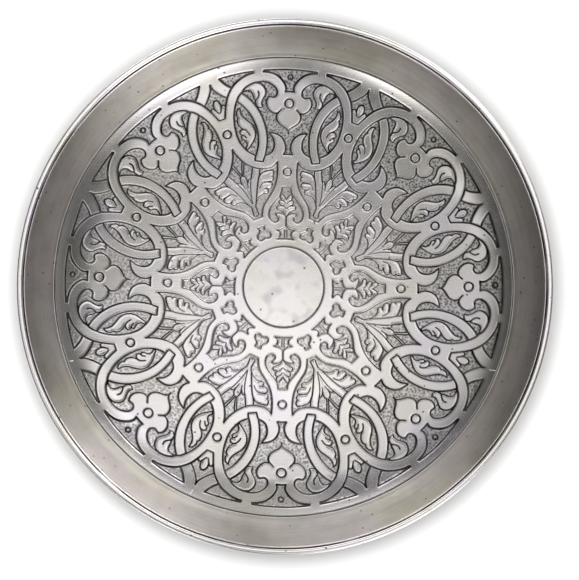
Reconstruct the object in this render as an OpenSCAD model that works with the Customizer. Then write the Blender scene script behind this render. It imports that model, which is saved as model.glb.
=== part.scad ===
// Pedestal bowl of cast and turned pewter: a cast relief disc is the bowl's dished floor, set in a
// turned wall with a beaded rim, on a turned pedestal held together by one tie stud.

/* [Bowl] */
// Diameter over the rim
bowl_d = 230; // [220:1:240]
// Height from the table to the top of the rim
overall_h = 100; // [97:1:110]
// Radius of the shallow dish that the floor follows
dish_r = 420; // [380:10:500]
// Plan radius where the floor starts to turn up
shoulder_r = 84; // [80:1:86]
// Slope of the floor at its outer edge, in degrees
floor_edge_slope = 30; // [27:1:33]
// Slope of the wall just outside the floor, in degrees
wall_foot_slope = 48; // [44:1:50]
// Slope of the wall at the lip, in degrees
wall_lip_slope = 66; // [62:1:70]
// Thickness of the wall at its foot
wall_foot_t = 3; // [2.6:0.1:3.4]
// Thickness of the wall at the lip
wall_lip_t = 1.9; // [1.6:0.1:2.2]

/* [Rim] */
// Radius of the round bead on the rim
bead_r = 1.4; // [1.2:0.1:1.7]
// Height of the bead's centre above the lip
bead_up = 0.9; // [0.7:0.1:1]
// Radius of the fine reed inside the bead
reed_r = 0.45; // [0.35:0.05:0.5]
// Width of the whole rim moulding
rim_w = 3.7; // [3.5:0.1:4]

/* [Relief disc] */
// Plan radius of the disc
disc_r = 100; // [98:0.5:101]
// Thickness of the disc at the top of the relief
disc_t = 3.2; // [2.8:0.1:3.6]
// Thickness of the disc's edge, where it lies on the wall's ledge
disc_edge_t = 1.4; // [1.2:0.1:1.6]
// Width of the wall's ledge under the disc's edge
disc_ledge_w = 4.5; // [3.5:0.1:5.5]
// Width of the seam between the disc and the wall
seam_gap = 0.3; // [0.2:0.1:0.5]
// Radius of the recess in the middle of the disc
disc_eye_r = 18.1; // [17:0.1:20]
// Depth of that recess
disc_eye_depth = 1.4; // [1.2:0.1:1.6]

/* [Relief] */
// Depth of the sunk grounds between the straps
ground_depth = 0.5; // [0.3:0.1:0.8]
// Turn of the whole pattern, clockwise from above, in degrees
pattern_turn = 1.37; // [0:0.01:3]
// How far the pattern is cast off the axis, to the right
pattern_x = 0.15; // [-0.4:0.05:0.4]
// How far the pattern is cast off the axis, to the back
pattern_y = -0.55; // [-0.8:0.05:0.4]

/* [Centre roundel] */
// Radial gap round the roundel
roundel_gap = 0.25; // [0.15:0.05:0.4]
// Height of the roundel's middle over the dish, 0 for a roundel that goes on with it
roundel_crown = 0; // [0:0.1:1]
// Radius of the boss under the roundel
boss_r = 5; // [4.5:0.1:6]
// Reach of the boss below the disc
boss_reach = 3; // [2:0.5:4]

/* [Pedestal] */
// Radius of the collar under the bowl
collar_r = 32; // [28:1:40]
// Height of the collar on the axis
collar_h = 8; // [7.5:0.5:9]
// Radius of the collar's lower end
collar_foot_r = 16; // [14:0.5:18]
// Thickness of the collar's edge
collar_edge_t = 1.8; // [1.4:0.1:2.2]
// Radius of the stem's ends
stem_end_r = 14; // [12.5:0.5:15]
// Radius of the stem's waist
stem_waist_r = 10; // [9.5:0.5:12]
// Largest radius of the knop
knop_r = 19.5; // [17:0.5:23]
// Radius of the knop's flat ends
knop_end_r = 13; // [12:0.5:14]
// Height of the knop
knop_h = 11; // [10:0.5:12]
// Height of the neck above the foot
neck_h = 7; // [6.5:0.5:8]
// Radius of the neck's waist
neck_waist_r = 11; // [10:0.5:12]
// Radius of the spigots that centre the pieces
spigot_r = 8; // [7:0.5:8.5]
// Height of the spigots
spigot_h = 2.5; // [2:0.1:2.8]

/* [Foot] */
// Height of the foot's top above the table
foot_h = 24; // [22:1:25]
// Radius of the foot's top
foot_top_r = 17; // [16:0.5:19]
// Radius where the spun foot meets its rim
foot_edge_r = 54; // [50:1:58]
// Height where the spun foot meets its rim
foot_edge_z = 7; // [6.5:0.5:8]
// Wall thickness of the spun foot
foot_t = 2.4; // [2:0.1:2.8]
// Thickness of the plate at the foot's top
foot_plate_t = 5; // [4.6:0.1:5.5]
// Outer radius of the foot rim
foot_rim_r = 62; // [60:0.5:66]
// Width of the ledge that carries the spun foot
ledge_w = 2.5; // [2:0.1:3]
// Radius of the bead round the base
base_bead_r = 2.4; // [2:0.1:2.4]

/* [Fixings] */
// Diameter of the tie stud
stud_d = 6; // [5:1:6]
// Diameter of the clearance holes round the stud
stud_hole_d = 6.6; // [6.4:0.1:7]
// Depth of thread in the roundel's boss
stud_grip = 4; // [3:0.5:4.5]
// Length of stud below the nut
stud_tail = 1.5; // [1:0.5:3]
// Width across the flats of the nut
nut_af = 10; // [8:1:10]
// Height of the nut
nut_h = 5; // [4:0.5:6]
// Outer diameter of the pressure washer
plate_washer_d = 22; // [18:1:24]
// Thickness of the pressure washer
plate_washer_t = 2; // [1.5:0.1:2.5]
// Outer diameter of the spring washer
spring_washer_d = 11.8; // [10:0.1:12]
// Thickness of the spring washer
spring_washer_t = 1.6; // [1.2:0.1:2]
// Width of the split in the spring washer
split_w = 1.2; // [0.8:0.1:1.6]

/* [Hidden] */
$fn = 96;

// Number of steps in the long, middle and short curves of the turned profiles
steps_long = 24;
steps_mid = 16;
steps_short = 8;

// The pattern's repeats, and how it drifts from even spacing: in degrees at one distance from the
// centre and at any, and as a stretch and a skew of its plan
repeats = 8;
half_repeat = 180 / repeats;
drift_across = -1.91;
drift_at = 81.4;
drift_up = -0.165;
pattern_stretch = 0.0045;
pattern_skew = -0.0018;

// Radial fit of a spigot in its socket, spare depth at its end, and overrun of a drill
fit_gap = 0.1;
end_gap = 0.2;
over = 1;

// Slope where the shallow dish meets the tighter turn, and that turn's radius
shoulder_slope = asin(shoulder_r / dish_r);
turn_r = (disc_r - shoulder_r) / (sin(floor_edge_slope) - sin(shoulder_slope));
ledge_slope = asin(sin(floor_edge_slope) - disc_ledge_w / turn_r);

// Radius of the wall's curve, from the seam to the lip
rim_r = bowl_d / 2;
lip_r = rim_r - rim_w;
wall_foot_r = disc_r + seam_gap;
wall_r = (lip_r - wall_foot_r) / (sin(wall_lip_slope) - sin(wall_foot_slope));

// Heights, from the rim down
rim_rise = bead_up + bead_r;
wall_rise = wall_r * (cos(wall_foot_slope) - cos(wall_lip_slope));
dish_rise = dish_r * (1 - cos(shoulder_slope)) + turn_r * (cos(shoulder_slope) - cos(floor_edge_slope));
lip_z = overall_h - rim_rise;
seam_z = lip_z - wall_rise;
floor_z = seam_z - dish_rise;
disc_low_z = floor_z - disc_t;
collar_low_z = disc_low_z - collar_h;
neck_top_z = foot_h + neck_h;
knop_top_z = neck_top_z + knop_h;

// Centres of the dish, the turn and the wall in the turned section
dish_c = [0, floor_z + dish_r];
turn_c = dish_c + (dish_r - turn_r) * [sin(shoulder_slope), -cos(shoulder_slope)];
wall_c = [wall_foot_r - wall_r * sin(wall_foot_slope), seam_z + wall_r * cos(wall_foot_slope)];

// Heights of the stack of fixings under the foot's plate
foot_plate_z = foot_h - foot_plate_t;
plate_washer_z = foot_plate_z - plate_washer_t;
spring_washer_z = plate_washer_z - spring_washer_t;
nut_z = spring_washer_z - nut_h;
stud_low_z = nut_z - stud_tail;
boss_low_z = disc_low_z - boss_reach;
stud_top_z = boss_low_z + stud_grip;

pewter = [0.66, 0.65, 0.62];
bright_pewter = [0.78, 0.77, 0.74];
dark_pewter = [0.5, 0.49, 0.47];
steel = [0.62, 0.63, 0.65];

// A point at a slope on a curve, and a run of such points, which may skip the first
function on_arc(c, r, slope) = c + r * [sin(slope), -cos(slope)];
function arc(c, r, from, to, steps, skip = 0) =
    [for (i = [skip:steps]) on_arc(c, r, from + (to - from) * i / steps)];
function backwards(points) = [for (i = [len(points) - 1:-1:0]) points[i]];

// The dish sunk by t below the top of the relief: its shallow part from plan radius r0, then the
// turn up to a slope, or the turn alone between two slopes
function dish(t, r0, slope) = concat(
    arc(dish_c, dish_r + t, asin(r0 / (dish_r + t)), shoulder_slope, steps_short),
    arc(turn_c, turn_r + t, shoulder_slope, slope, steps_short, 1));
function turn(t, from, to) = arc(turn_c, turn_r + t, from, to, steps_short);
function dish_z(t, r) = dish_c.y - sqrt(pow(dish_r + t, 2) - r * r);

// Plan radius at a distance s from the centre, measured along the dish
shoulder_s = dish_r * shoulder_slope * PI / 180;
function plan_r(s) =
    s < shoulder_s ? dish_r * sin(s / dish_r * 180 / PI)
        : turn_c.x + turn_r * sin(shoulder_slope + (s - shoulder_s) / turn_r * 180 / PI);

// A drawn point, across and outwards in mm along the dish, where repeat n has it on the disc
function on_disc(p, n) =
    let (
        s = norm(p), a = 2 * half_repeat * n + atan2(p.x, p.y),
        b = a + pattern_turn + drift_across * s / drift_at * cos(a) + drift_up * sin(a),
        q = plan_r(s) * [cos(b), -sin(b)])
    q + [
        pattern_x + pattern_stretch * q.x + pattern_skew * q.y,
        pattern_y + pattern_skew * q.x + pattern_stretch * q.y
    ];

// A shape drawn on one side only: closed over the repeat's middle line or its edge, or on each side
edge_way = [sin(half_repeat), cos(half_repeat)];
function over_middle(points) =
    concat(points, [for (p = backwards(points)) if (p.x > 0.1) [-p.x, p.y]]);
function over_edge(points) =
    concat(points, [for (p = backwards(points))
        if (abs(cross(p, edge_way)) > 0.1) 2 * (p * edge_way) * edge_way - p]);
function each_side(points) = [points, [for (p = backwards(points)) [-p.x, p.y]]];

// Sunk grounds of one repeat: bracket and trefoil at the eye, palmette, fan, scroll, lens, kite,
// spandrel and lunette
grounds = concat(
    [
        over_middle([[0, 21.85], [3.8, 21.6], [2.35, 23.7], [4, 25.6], [0, 27.7]]),
        over_edge([[9.05, 21.85], [6.55, 22.8], [9.7, 26], [11.05, 26.68]]),
        over_middle([
            [0, 31.5], [4.7, 32.8], [3.4, 30.4], [5, 29.1], [7.5, 31.8], [6.4, 36.4], [2.6, 41.5],
            [1.9, 44.5], [0, 44.6]
        ]),
        over_edge([
            [12.59, 30.4], [10.75, 31.2], [10, 36.3], [6.5, 42.2], [4.5, 48.8], [4.6, 55.7],
            [9.2, 52.45], [16.2, 52.95], [24.87, 60.04]
        ]),
        over_middle([
            [0, 58.7], [2.05, 58.6], [1.2, 62.5], [3, 66.5], [8.65, 68.45], [6.3, 63.5], [7.4, 59.7],
            [10.1, 58.1], [9.5, 65], [11.5, 73.5], [16.2, 81], [21.7, 84.9], [18.8, 88.5], [12.6, 90.5],
            [6.8, 88.3], [5.7, 85.3], [9.4, 84], [10.3, 81], [7.9, 77.4], [5, 77.2], [5.4, 74.3],
            [0, 69.3]
        ]),
        over_edge([
            [33.55, 81], [31.4, 80], [30.7, 78.2], [29.6, 79.3], [28.65, 78.3], [28.2, 82.5],
            [33.5, 84.85], [36.4, 87.88]
        ]),
        over_middle([
            [0, 86.6], [2.05, 86.5], [2.2, 89.6], [5.4, 93.2], [12.4, 95], [12.3, 95.6], [0, 96.45]
        ])
    ],
    each_side([
        [14.2, 58], [19.9, 61.3], [23.8, 68.4], [24.8, 75.4], [23.8, 81.2], [18.5, 76.9], [14.6, 70.4],
        [13.4, 63]
    ]),
    each_side([
        [26.2, 87.1], [22.3, 91.4], [16.8, 94.2], [17, 94.9], [24.5, 93.2], [32.4, 90.85]
    ]));

// Leaves that stand in those grounds: in the palmette, the fan, the scroll and the lens
leaves = concat(
    [
        over_middle([[0, 32], [4.1, 35.5], [1.7, 36.5], [3.2, 38.1], [2.2, 41.3], [0, 39.2]]),
        over_edge([
            [12.95, 31.26], [13.5, 36.8], [10.4, 41.3], [6.5, 45], [6.1, 51], [12.4, 49.6],
            [12.2, 53.4], [15.6, 54], [16.1, 47.5], [17.5, 45.7], [20.05, 48.4]
        ])
    ],
    each_side([
        [11.9, 79.4], [15.2, 81.3], [14.1, 83.4], [18.6, 86.3], [22.5, 84.6], [19.5, 89.5], [13.2, 91],
        [12.3, 88.8], [10.7, 85.9], [12.3, 82]
    ]),
    each_side([
        [18, 59.6], [13.3, 66.2], [16, 71.3], [21.1, 75.2], [22.2, 78.3], [23.7, 76], [20, 69],
        [21.9, 67.8], [18.5, 62]
    ]));

// The wall's outer face, which thins from its foot to the lip
function wall_t(k) = wall_foot_t + (wall_lip_t - wall_foot_t) * k;
function wall_outer() =
    [for (i = [0:steps_mid]) let (k = i / steps_mid)
        on_arc(wall_c, wall_r + wall_t(k), wall_foot_slope + (wall_lip_slope - wall_foot_slope) * k)];

// A waisted side between two heights: wide at both ends, narrow between
function waisted(z0, r0, z1, r1, waist) =
    [for (i = [0:steps_mid]) let (k = i / steps_mid, end_r = r0 + (r1 - r0) * k)
        [waist + (end_r - waist) * pow(2 * k - 1, 2), z0 + (z1 - z0) * k]];

// A trumpet side that falls steeply from the top and runs out flat at the edge
function trumpet(top_r, top_z, edge_r, edge_z) =
    [for (i = [0:steps_long]) let (a = 90 * i / steps_long)
        [top_r + (edge_r - top_r) * (1 - cos(a)), top_z - (top_z - edge_z) * sin(a)]];

module turned(points) {
    rotate_extrude() polygon(points);
}

// A cylinder cut by the stud's clearance hole or a socket, from z0 to z1
module drilled(d, z0, z1) {
    translate([0, 0, z0]) cylinder(d = d, h = z1 - z0);
}

module spigot(z0, z1) {
    translate([0, 0, z0]) cylinder(r = spigot_r, h = z1 - z0);
}

module pattern(shapes) {
    for (n = [0:repeats - 1], shape = shapes) polygon([for (p = shape) on_disc(p, n)]);
}

// The grounds between the straps, down to the dish sunk by their depth
module sunk_grounds() {
    intersection() {
        translate([0, 0, floor_z - over])
            linear_extrude(height = dish_rise + 2 * over)
                difference() {
                    pattern(grounds);
                    pattern(leaves);
                }
        turned(concat(
            dish(ground_depth, disc_eye_r, floor_edge_slope),
            [[disc_r, seam_z + over], [disc_eye_r, seam_z + over]]));
    }
}

module relief_disc() {
    hole_r = boss_r + fit_gap;
    recess_r = dish_r + disc_eye_depth;
    recess = arc(dish_c, recess_r, asin(hole_r / recess_r), asin(disc_eye_r / recess_r), steps_short);
    color(dark_pewter)
        difference() {
            turned(concat(
                recess, dish(0, disc_eye_r, floor_edge_slope),
                backwards(turn(disc_edge_t, ledge_slope, floor_edge_slope)),
                backwards(dish(disc_t, hole_r, ledge_slope))));
            sunk_grounds();
        }
}

module bowl_wall() {
    inner = arc(wall_c, wall_r, wall_foot_slope, wall_lip_slope, steps_mid);
    lip_outer = [[lip_r + wall_lip_t / sin(wall_lip_slope), lip_z]];
    color(pewter)
        turned(concat(
            turn(disc_edge_t, ledge_slope, floor_edge_slope), inner, lip_outer, backwards(wall_outer()),
            backwards(turn(disc_t, ledge_slope, floor_edge_slope))));
}

module centre_roundel() {
    edge_r = disc_eye_r - roundel_gap;
    edge_z = dish_z(0, edge_r);
    crown_z = floor_z + roundel_crown;
    seat_r = dish_r + disc_eye_depth;
    seat = arc(dish_c, seat_r, 0, asin(edge_r / seat_r), steps_short);
    crown = [for (i = [0:steps_mid]) let (k = 1 - i / steps_mid)
        [edge_r * k, crown_z + (edge_z - crown_z) * k * k]];
    color(bright_pewter)
        difference() {
            union() {
                turned(concat(seat, crown));
                drilled(2 * boss_r, boss_low_z, floor_z - disc_eye_depth / 2);
            }
            drilled(stud_d, boss_low_z - over, stud_top_z);
        }
}

module rim_bead() {
    reed_c = [lip_r + reed_r, lip_z + reed_r];
    bead_c = [rim_r - bead_r, lip_z + bead_up];
    bead_end = 90 - asin(bead_up / bead_r);
    color(bright_pewter)
        turned(concat(
            [[lip_r, lip_z]], arc(reed_c, reed_r, 270, 90, steps_short),
            arc(bead_c, bead_r, 270, bead_end, steps_mid)));
}

module bowl_collar() {
    under_r = dish_r + disc_t;
    recess_r = boss_r + fit_gap;
    recess_z = boss_low_z - end_gap;
    seat = arc(dish_c, under_r, asin(recess_r / under_r), asin(collar_r / under_r), steps_mid);
    edge_z = dish_z(disc_t, collar_r) - collar_edge_t;
    cove = trumpet(collar_foot_r, collar_low_z, collar_r - collar_edge_t, edge_z);
    color(pewter)
        difference() {
            turned(concat(
                seat, [[collar_r, edge_z]], backwards(cove),
                [[stud_hole_d / 2, collar_low_z], [stud_hole_d / 2, recess_z], [recess_r, recess_z]]));
            drilled(2 * (spigot_r + fit_gap), collar_low_z - over, collar_low_z + spigot_h + end_gap);
        }
}

module upper_stem() {
    color(pewter)
        difference() {
            union() {
                turned(concat(
                    waisted(knop_top_z, stem_end_r, collar_low_z, stem_end_r, stem_waist_r),
                    [[0, collar_low_z], [0, knop_top_z]]));
                spigot(knop_top_z - spigot_h, knop_top_z);
                spigot(collar_low_z, collar_low_z + spigot_h);
            }
            drilled(stud_hole_d, knop_top_z - spigot_h - over, collar_low_z + spigot_h + over);
        }
}

module knop() {
    bulge = [for (i = [0:steps_long]) let (a = 180 * i / steps_long)
        [knop_end_r + (knop_r - knop_end_r) * sin(a), neck_top_z + knop_h * (1 - cos(a)) / 2]];
    socket_d = 2 * (spigot_r + fit_gap);
    color(bright_pewter)
        difference() {
            turned(concat(bulge, [[0, knop_top_z], [0, neck_top_z]]));
            drilled(stud_hole_d, neck_top_z - over, knop_top_z + over);
            drilled(socket_d, neck_top_z - over, neck_top_z + spigot_h + end_gap);
            drilled(socket_d, knop_top_z - spigot_h - end_gap, knop_top_z + over);
        }
}

module lower_stem() {
    color(pewter)
        difference() {
            union() {
                turned(concat(
                    waisted(foot_h, foot_top_r, neck_top_z, knop_end_r, neck_waist_r),
                    [[0, neck_top_z], [0, foot_h]]));
                spigot(foot_h - spigot_h, foot_h);
                spigot(neck_top_z, neck_top_z + spigot_h);
            }
            drilled(stud_hole_d, foot_h - spigot_h - over, neck_top_z + spigot_h + over);
        }
}

module foot() {
    outside = trumpet(foot_top_r, foot_h, foot_edge_r, foot_edge_z);
    inside = trumpet(foot_top_r - foot_t, foot_plate_z, foot_edge_r - ledge_w, foot_edge_z - foot_t);
    color(pewter)
        difference() {
            turned(concat(
                outside, [[foot_edge_r, foot_edge_z - foot_t]], backwards(inside),
                [[0, foot_plate_z], [0, foot_h]]));
            drilled(stud_hole_d, foot_plate_z - over, foot_h + over);
            drilled(2 * (spigot_r + fit_gap), foot_h - spigot_h - end_gap, foot_h + over);
        }
}

module foot_rim() {
    ledge_z = foot_edge_z - foot_t;
    inner_r = foot_edge_r - ledge_w;
    bead_c = foot_rim_r - base_bead_r;
    step_r = bead_c - base_bead_r / 2;
    color(bright_pewter)
        rotate_extrude()
            union() {
                translate([bead_c, base_bead_r]) circle(r = base_bead_r);
                translate([inner_r, 0]) square([bead_c - inner_r, ledge_z]);
                polygon(concat(
                    [[foot_edge_r, ledge_z], [step_r, ledge_z]],
                    [for (i = [0:steps_short]) let (a = 90 * i / steps_short)
                        [foot_edge_r + (step_r - foot_edge_r) * cos(a), ledge_z + foot_t * sin(a)]]));
            }
}

module tie_stud() {
    color(steel) drilled(stud_d, stud_low_z, stud_top_z);
}

module pressure_washer() {
    color(steel)
        difference() {
            drilled(plate_washer_d, plate_washer_z, foot_plate_z);
            drilled(stud_hole_d, plate_washer_z - over, foot_plate_z + over);
        }
}

module spring_washer() {
    color(steel)
        difference() {
            drilled(spring_washer_d, spring_washer_z, plate_washer_z);
            drilled(stud_hole_d, spring_washer_z - over, plate_washer_z + over);
            translate([0, -split_w / 2, spring_washer_z - over])
                cube([spring_washer_d, split_w, spring_washer_t + 2 * over]);
        }
}

module tie_nut() {
    color(steel)
        difference() {
            translate([0, 0, nut_z]) cylinder(d = nut_af / cos(30), h = nut_h, $fn = 6);
            drilled(stud_d, nut_z - over, spring_washer_z + over);
        }
}

relief_disc();
bowl_wall();
centre_roundel();
rim_bead();
bowl_collar();
upper_stem();
knop();
lower_stem();
foot();
foot_rim();
tie_stud();
pressure_washer();
spring_washer();
tie_nut();
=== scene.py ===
# %% [markdown]
# # A pedestal bowl of engraved pewter
# The bowl is a dished plate with a carved strapwork pattern, set in a turned wall with a beaded rim, on a
# turned pedestal. The imported model gives every piece its place and size, so the frame is loaded first. The
# finished model has to stay inside it.

# %% Load the frame
import math

import bpy
import numpy as np
from mathutils import Matrix, Vector


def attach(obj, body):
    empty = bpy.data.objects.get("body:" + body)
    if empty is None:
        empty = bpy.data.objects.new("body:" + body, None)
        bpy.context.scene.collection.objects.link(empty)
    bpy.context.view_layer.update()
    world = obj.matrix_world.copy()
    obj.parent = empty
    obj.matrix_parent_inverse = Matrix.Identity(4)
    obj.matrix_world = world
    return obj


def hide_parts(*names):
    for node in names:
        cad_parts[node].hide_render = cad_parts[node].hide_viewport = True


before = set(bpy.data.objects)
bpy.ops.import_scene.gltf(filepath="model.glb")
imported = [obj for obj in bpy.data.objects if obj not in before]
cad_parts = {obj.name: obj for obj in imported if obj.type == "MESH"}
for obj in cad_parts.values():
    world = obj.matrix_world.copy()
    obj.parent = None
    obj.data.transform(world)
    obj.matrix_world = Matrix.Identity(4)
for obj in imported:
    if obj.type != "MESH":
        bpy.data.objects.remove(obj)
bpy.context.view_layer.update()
MM = 0.001
print("frame nodes:", sorted(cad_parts))

# %% [markdown]
# ## The camera
# The picture looks almost straight down into the bowl, from about a metre. A camera can be aimed with a
# track constraint, but one that looks down has no clear upward direction, so its three axes are worked out
# here: forwards to the aim point, to the right across the picture, and up along the picture.

# %% Camera
CAMERA_PLACE = Vector((-30.7, -8.3, 1000)) * MM
CAMERA_AIM = Vector((1.41, -1.58, 100)) * MM
FIELD_AT_RIM = 247.5 * MM
SENSOR = 36

forwards = CAMERA_AIM - CAMERA_PLACE
rightwards = forwards.cross(Vector((0, 1, 0))).normalized()
upwards = rightwards.cross(forwards).normalized()
camera_data = bpy.data.cameras.new("camera")
camera_data.sensor_fit = "HORIZONTAL"
camera_data.sensor_width = SENSOR
camera_data.lens = SENSOR * forwards.length / FIELD_AT_RIM
camera = bpy.data.objects.new("camera", camera_data)
camera.location = CAMERA_PLACE
camera.rotation_euler = Matrix((rightwards, upwards, -forwards.normalized())).transposed().to_euler()
bpy.context.scene.collection.objects.link(camera)
bpy.context.scene.camera = camera
print("camera lens:", round(camera_data.lens, 1), "mm")

# %% [markdown]
# ## Drawing on a lathe
# Nearly every piece of this bowl comes off a lathe: a cutter follows an outline while the work turns. In
# Blender that is the Spin operator. The helper starts from a plane merged to one point, extrudes the point
# along the outline, and spins the line round the upright axis. A Screw modifier would do the same, but a
# spun mesh can be bevelled and checked at once.

# %% Lathe helpers
TURN_STEPS, MERGE = 192, 0.002
SMOOTH_ANGLE = math.radians(35)


def pick_only(piece):
    bpy.ops.object.select_all(action="DESELECT")
    piece.select_set(True)
    bpy.context.view_layer.objects.active = piece


def start_piece(name):
    bpy.ops.object.select_all(action="DESELECT")
    bpy.ops.mesh.primitive_plane_add(size=MM, location=(0, 0, 0))
    piece = bpy.context.object
    piece.name = piece.data.name = name
    return piece


def draw_line(points):
    bpy.ops.mesh.select_all(action="SELECT")
    bpy.ops.mesh.merge(type="CENTER")
    places = [Vector((radius * MM, 0, height * MM)) for radius, height in points]
    bpy.ops.transform.translate(value=places[0])
    for here, there in zip(places, places[1:]):
        bpy.ops.mesh.extrude_region_move(TRANSFORM_OT_translate={"value": there - here})


def merge_doubles():
    bpy.ops.mesh.select_all(action="SELECT")
    bpy.ops.mesh.remove_doubles(threshold=MERGE * MM)


def apply_modifier(piece, kind, **settings):
    pick_only(piece)
    modifier = piece.modifiers.new(kind.lower(), kind)
    for key, value in settings.items():
        setattr(modifier, key, value)
    bpy.ops.object.modifier_apply(modifier=modifier.name)


def round_edges(piece, width, segments=3):
    apply_modifier(piece, "BEVEL", width=width * MM, segments=segments, limit_method="ANGLE",
                   angle_limit=SMOOTH_ANGLE, use_clamp_overlap=True)


def turn_on_lathe(name, outline, edge=0.0, steps=TURN_STEPS, closed=True):
    piece = start_piece(name)
    bpy.ops.object.mode_set(mode="EDIT")
    draw_line(outline + outline[:1] if closed else outline)
    bpy.ops.mesh.select_all(action="SELECT")
    bpy.ops.mesh.spin(steps=steps, angle=2 * math.pi, center=(0, 0, 0), axis=(0, 0, 1))
    merge_doubles()
    bpy.ops.mesh.normals_make_consistent(inside=False)
    bpy.ops.object.mode_set(mode="OBJECT")
    if edge:
        round_edges(piece, edge)
    bpy.ops.object.shade_smooth_by_angle(angle=SMOOTH_ANGLE)
    print(name, len(piece.data.polygons), "faces")
    return piece


# %% [markdown]
# Outlines are lists of points (distance from the axis, height) in mm. Most of them are made of arcs. It is
# handy to give an arc by the slope of the curve at its ends, because slopes decide what polished metal shows.

# %% Arcs for outlines


def sin_d(angle):
    return math.sin(math.radians(angle))


def cos_d(angle):
    return math.cos(math.radians(angle))


def arc(centre, radius, start, end, steps):
    """Points on a circle, by the slope of the curve there in degrees."""
    slopes = np.linspace(start, end, steps + 1)
    return [(centre[0] + radius * sin_d(a), centre[1] - radius * cos_d(a)) for a in slopes]


print("a quarter of a circle in two steps:", np.round(arc((0, 0), 1, 0, 90, 2), 2).tolist())

# %% [markdown]
# ## The floor and the light
# The bowl stands on a plain white sweep: a floor that curves up into a low wall far away. It is turned on
# the same lathe.

# %% White sweep
SWEEP_R, SWEEP_CURVE_R, SWEEP_H, SWEEP_STEPS = 4000, 500, 600, 96
FLOOR_DROP = 0.02

sweep_line = [(0, -FLOOR_DROP)]
sweep_line += arc((SWEEP_R - SWEEP_CURVE_R, SWEEP_CURVE_R), SWEEP_CURVE_R, 0, 90, 12)
sweep = turn_on_lathe("floor_sweep", sweep_line + [(SWEEP_R, SWEEP_H)], steps=SWEEP_STEPS, closed=False)

# %% [markdown]
# A material is a tree of nodes. A few helpers keep it readable: one adds a node and feeds its inputs, each
# with a plain value or with another node's output, and one does sums.

# %% Node helpers


def new_material(name):
    material = bpy.data.materials.new(name)
    material.use_nodes = True
    material.node_tree.nodes.clear()
    return material


def feed(tree, socket, value):
    if isinstance(value, bpy.types.NodeSocket):
        tree.links.new(value, socket)
    else:
        socket.default_value = value


def add(tree, kind, **inputs):
    """A node with its inputs fed. Names use _ for a space."""
    made = tree.nodes.new(kind)
    for key, value in inputs.items():
        feed(tree, made.inputs[key.replace("_", " ")], value)
    return made


def operate(tree, kind, operation, values):
    made = tree.nodes.new(kind)
    made.operation = operation
    for socket, value in zip(made.inputs, values):
        feed(tree, socket, value)
    return made.outputs


def math_node(tree, operation, *values):
    return operate(tree, "ShaderNodeMath", operation, values)[0]


# %% [markdown]
# The sweep's own colour isn't quite enough for a white ground. So it also glows a little, only for the camera
# and for reflections, and the bowl's shadow on it stays.

# %% White floor
FLOOR_GLOW, FLOOR_PAINT = 0.25, 0.30

white = new_material("white_sweep")
tree = white.node_tree
path = tree.nodes.new("ShaderNodeLightPath").outputs
seen = math_node(tree, "MAXIMUM", path["Is Camera Ray"], path["Is Glossy Ray"])
seen = math_node(tree, "MAXIMUM", seen, path["Is Transmission Ray"])
paint = add(tree, "ShaderNodeBsdfDiffuse", Color=(FLOOR_PAINT, FLOOR_PAINT, FLOOR_PAINT, 1))
strength = math_node(tree, "MULTIPLY", seen, FLOOR_GLOW)
glow = add(tree, "ShaderNodeEmission", Color=(1, 1, 1, 1), Strength=strength)
both = tree.nodes.new("ShaderNodeAddShader")
tree.links.new(paint.outputs[0], both.inputs[0])
tree.links.new(glow.outputs[0], both.inputs[1])
add(tree, "ShaderNodeOutputMaterial", Surface=both.outputs[0])
sweep.data.materials.append(white)
print("floor paint:", FLOOR_PAINT, "and glow:", FLOOR_GLOW)

# %% [markdown]
# Metal shows its surroundings more than its own colour, so the soft boxes of the studio matter most. They
# could be lamps, but a lamp's edge shows in polished metal. Here they are soft patches in the world, each
# with a direction, a spread and a strength. Those near overhead light the dished plate, those half way down
# light its turn near the wall, and the low ones reach the wall by a second reflection. Between them the room
# stays dark. The numbers weren't set by hand alone: a search program found them by comparing brightness, and
# half of the rows were changed after that.

# %% Soft boxes in the world
# Direction round the picture from its right side, tilt from overhead, inner and outer spread, strength, tint
COOL, WARM, AMBER, PALE = (1.0, 0.985, 0.985), (1.0, 0.985, 0.97), (1.0, 0.98, 0.96), (1.0, 0.98, 0.97)
SOFT_BOXES = [
    (53, 9, 6, 16, 1.82, COOL), (296, 28, 8, 18, 1.56, COOL), (152, 21, 13, 23, 0.75, COOL),
    (213, 28, 1, 12, 1.5, COOL), (36, 31.5, 3, 13, 2.4, COOL), (82, 44, 7, 17, 0.65, WARM),
    (245, 58, 1, 13, 4.4, WARM), (297, 68, 1, 26, 4.35, AMBER), (239, 74, 20, 32, 0.39, PALE),
    (357, 75, 18, 28, 0.31, PALE), (51, 79, 17, 25, 4.85, AMBER), (108, 79, 20, 29, 2.91, AMBER),
]
ROOM = (0.072, 0.07, 0.067)

world = bpy.data.worlds.new("studio")
bpy.context.scene.world = world
world.use_nodes = True
tree = world.node_tree
tree.nodes.clear()
direction = tree.nodes.new("ShaderNodeTexCoord").outputs["Generated"]
light = ROOM
for around, tilt, inner, outer, strength, tint in SOFT_BOXES:
    towards = (sin_d(tilt) * cos_d(around), sin_d(tilt) * sin_d(around), cos_d(tilt))
    facing = operate(tree, "ShaderNodeVectorMath", "DOT_PRODUCT", (direction, towards))["Value"]
    patch = add(tree, "ShaderNodeMapRange", Value=facing, From_Min=cos_d(outer), From_Max=cos_d(inner),
                To_Max=strength)
    patch.interpolation_type = "SMOOTHSTEP"
    light = operate(tree, "ShaderNodeVectorMath", "MULTIPLY_ADD",
                    (tint, patch.outputs["Result"], light))["Vector"]
background = add(tree, "ShaderNodeBackground", Color=light)
add(tree, "ShaderNodeOutputWorld", Surface=background.outputs[0])
bpy.context.scene.view_settings.view_transform = "Standard"
print(len(SOFT_BOXES), "soft boxes")

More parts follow.
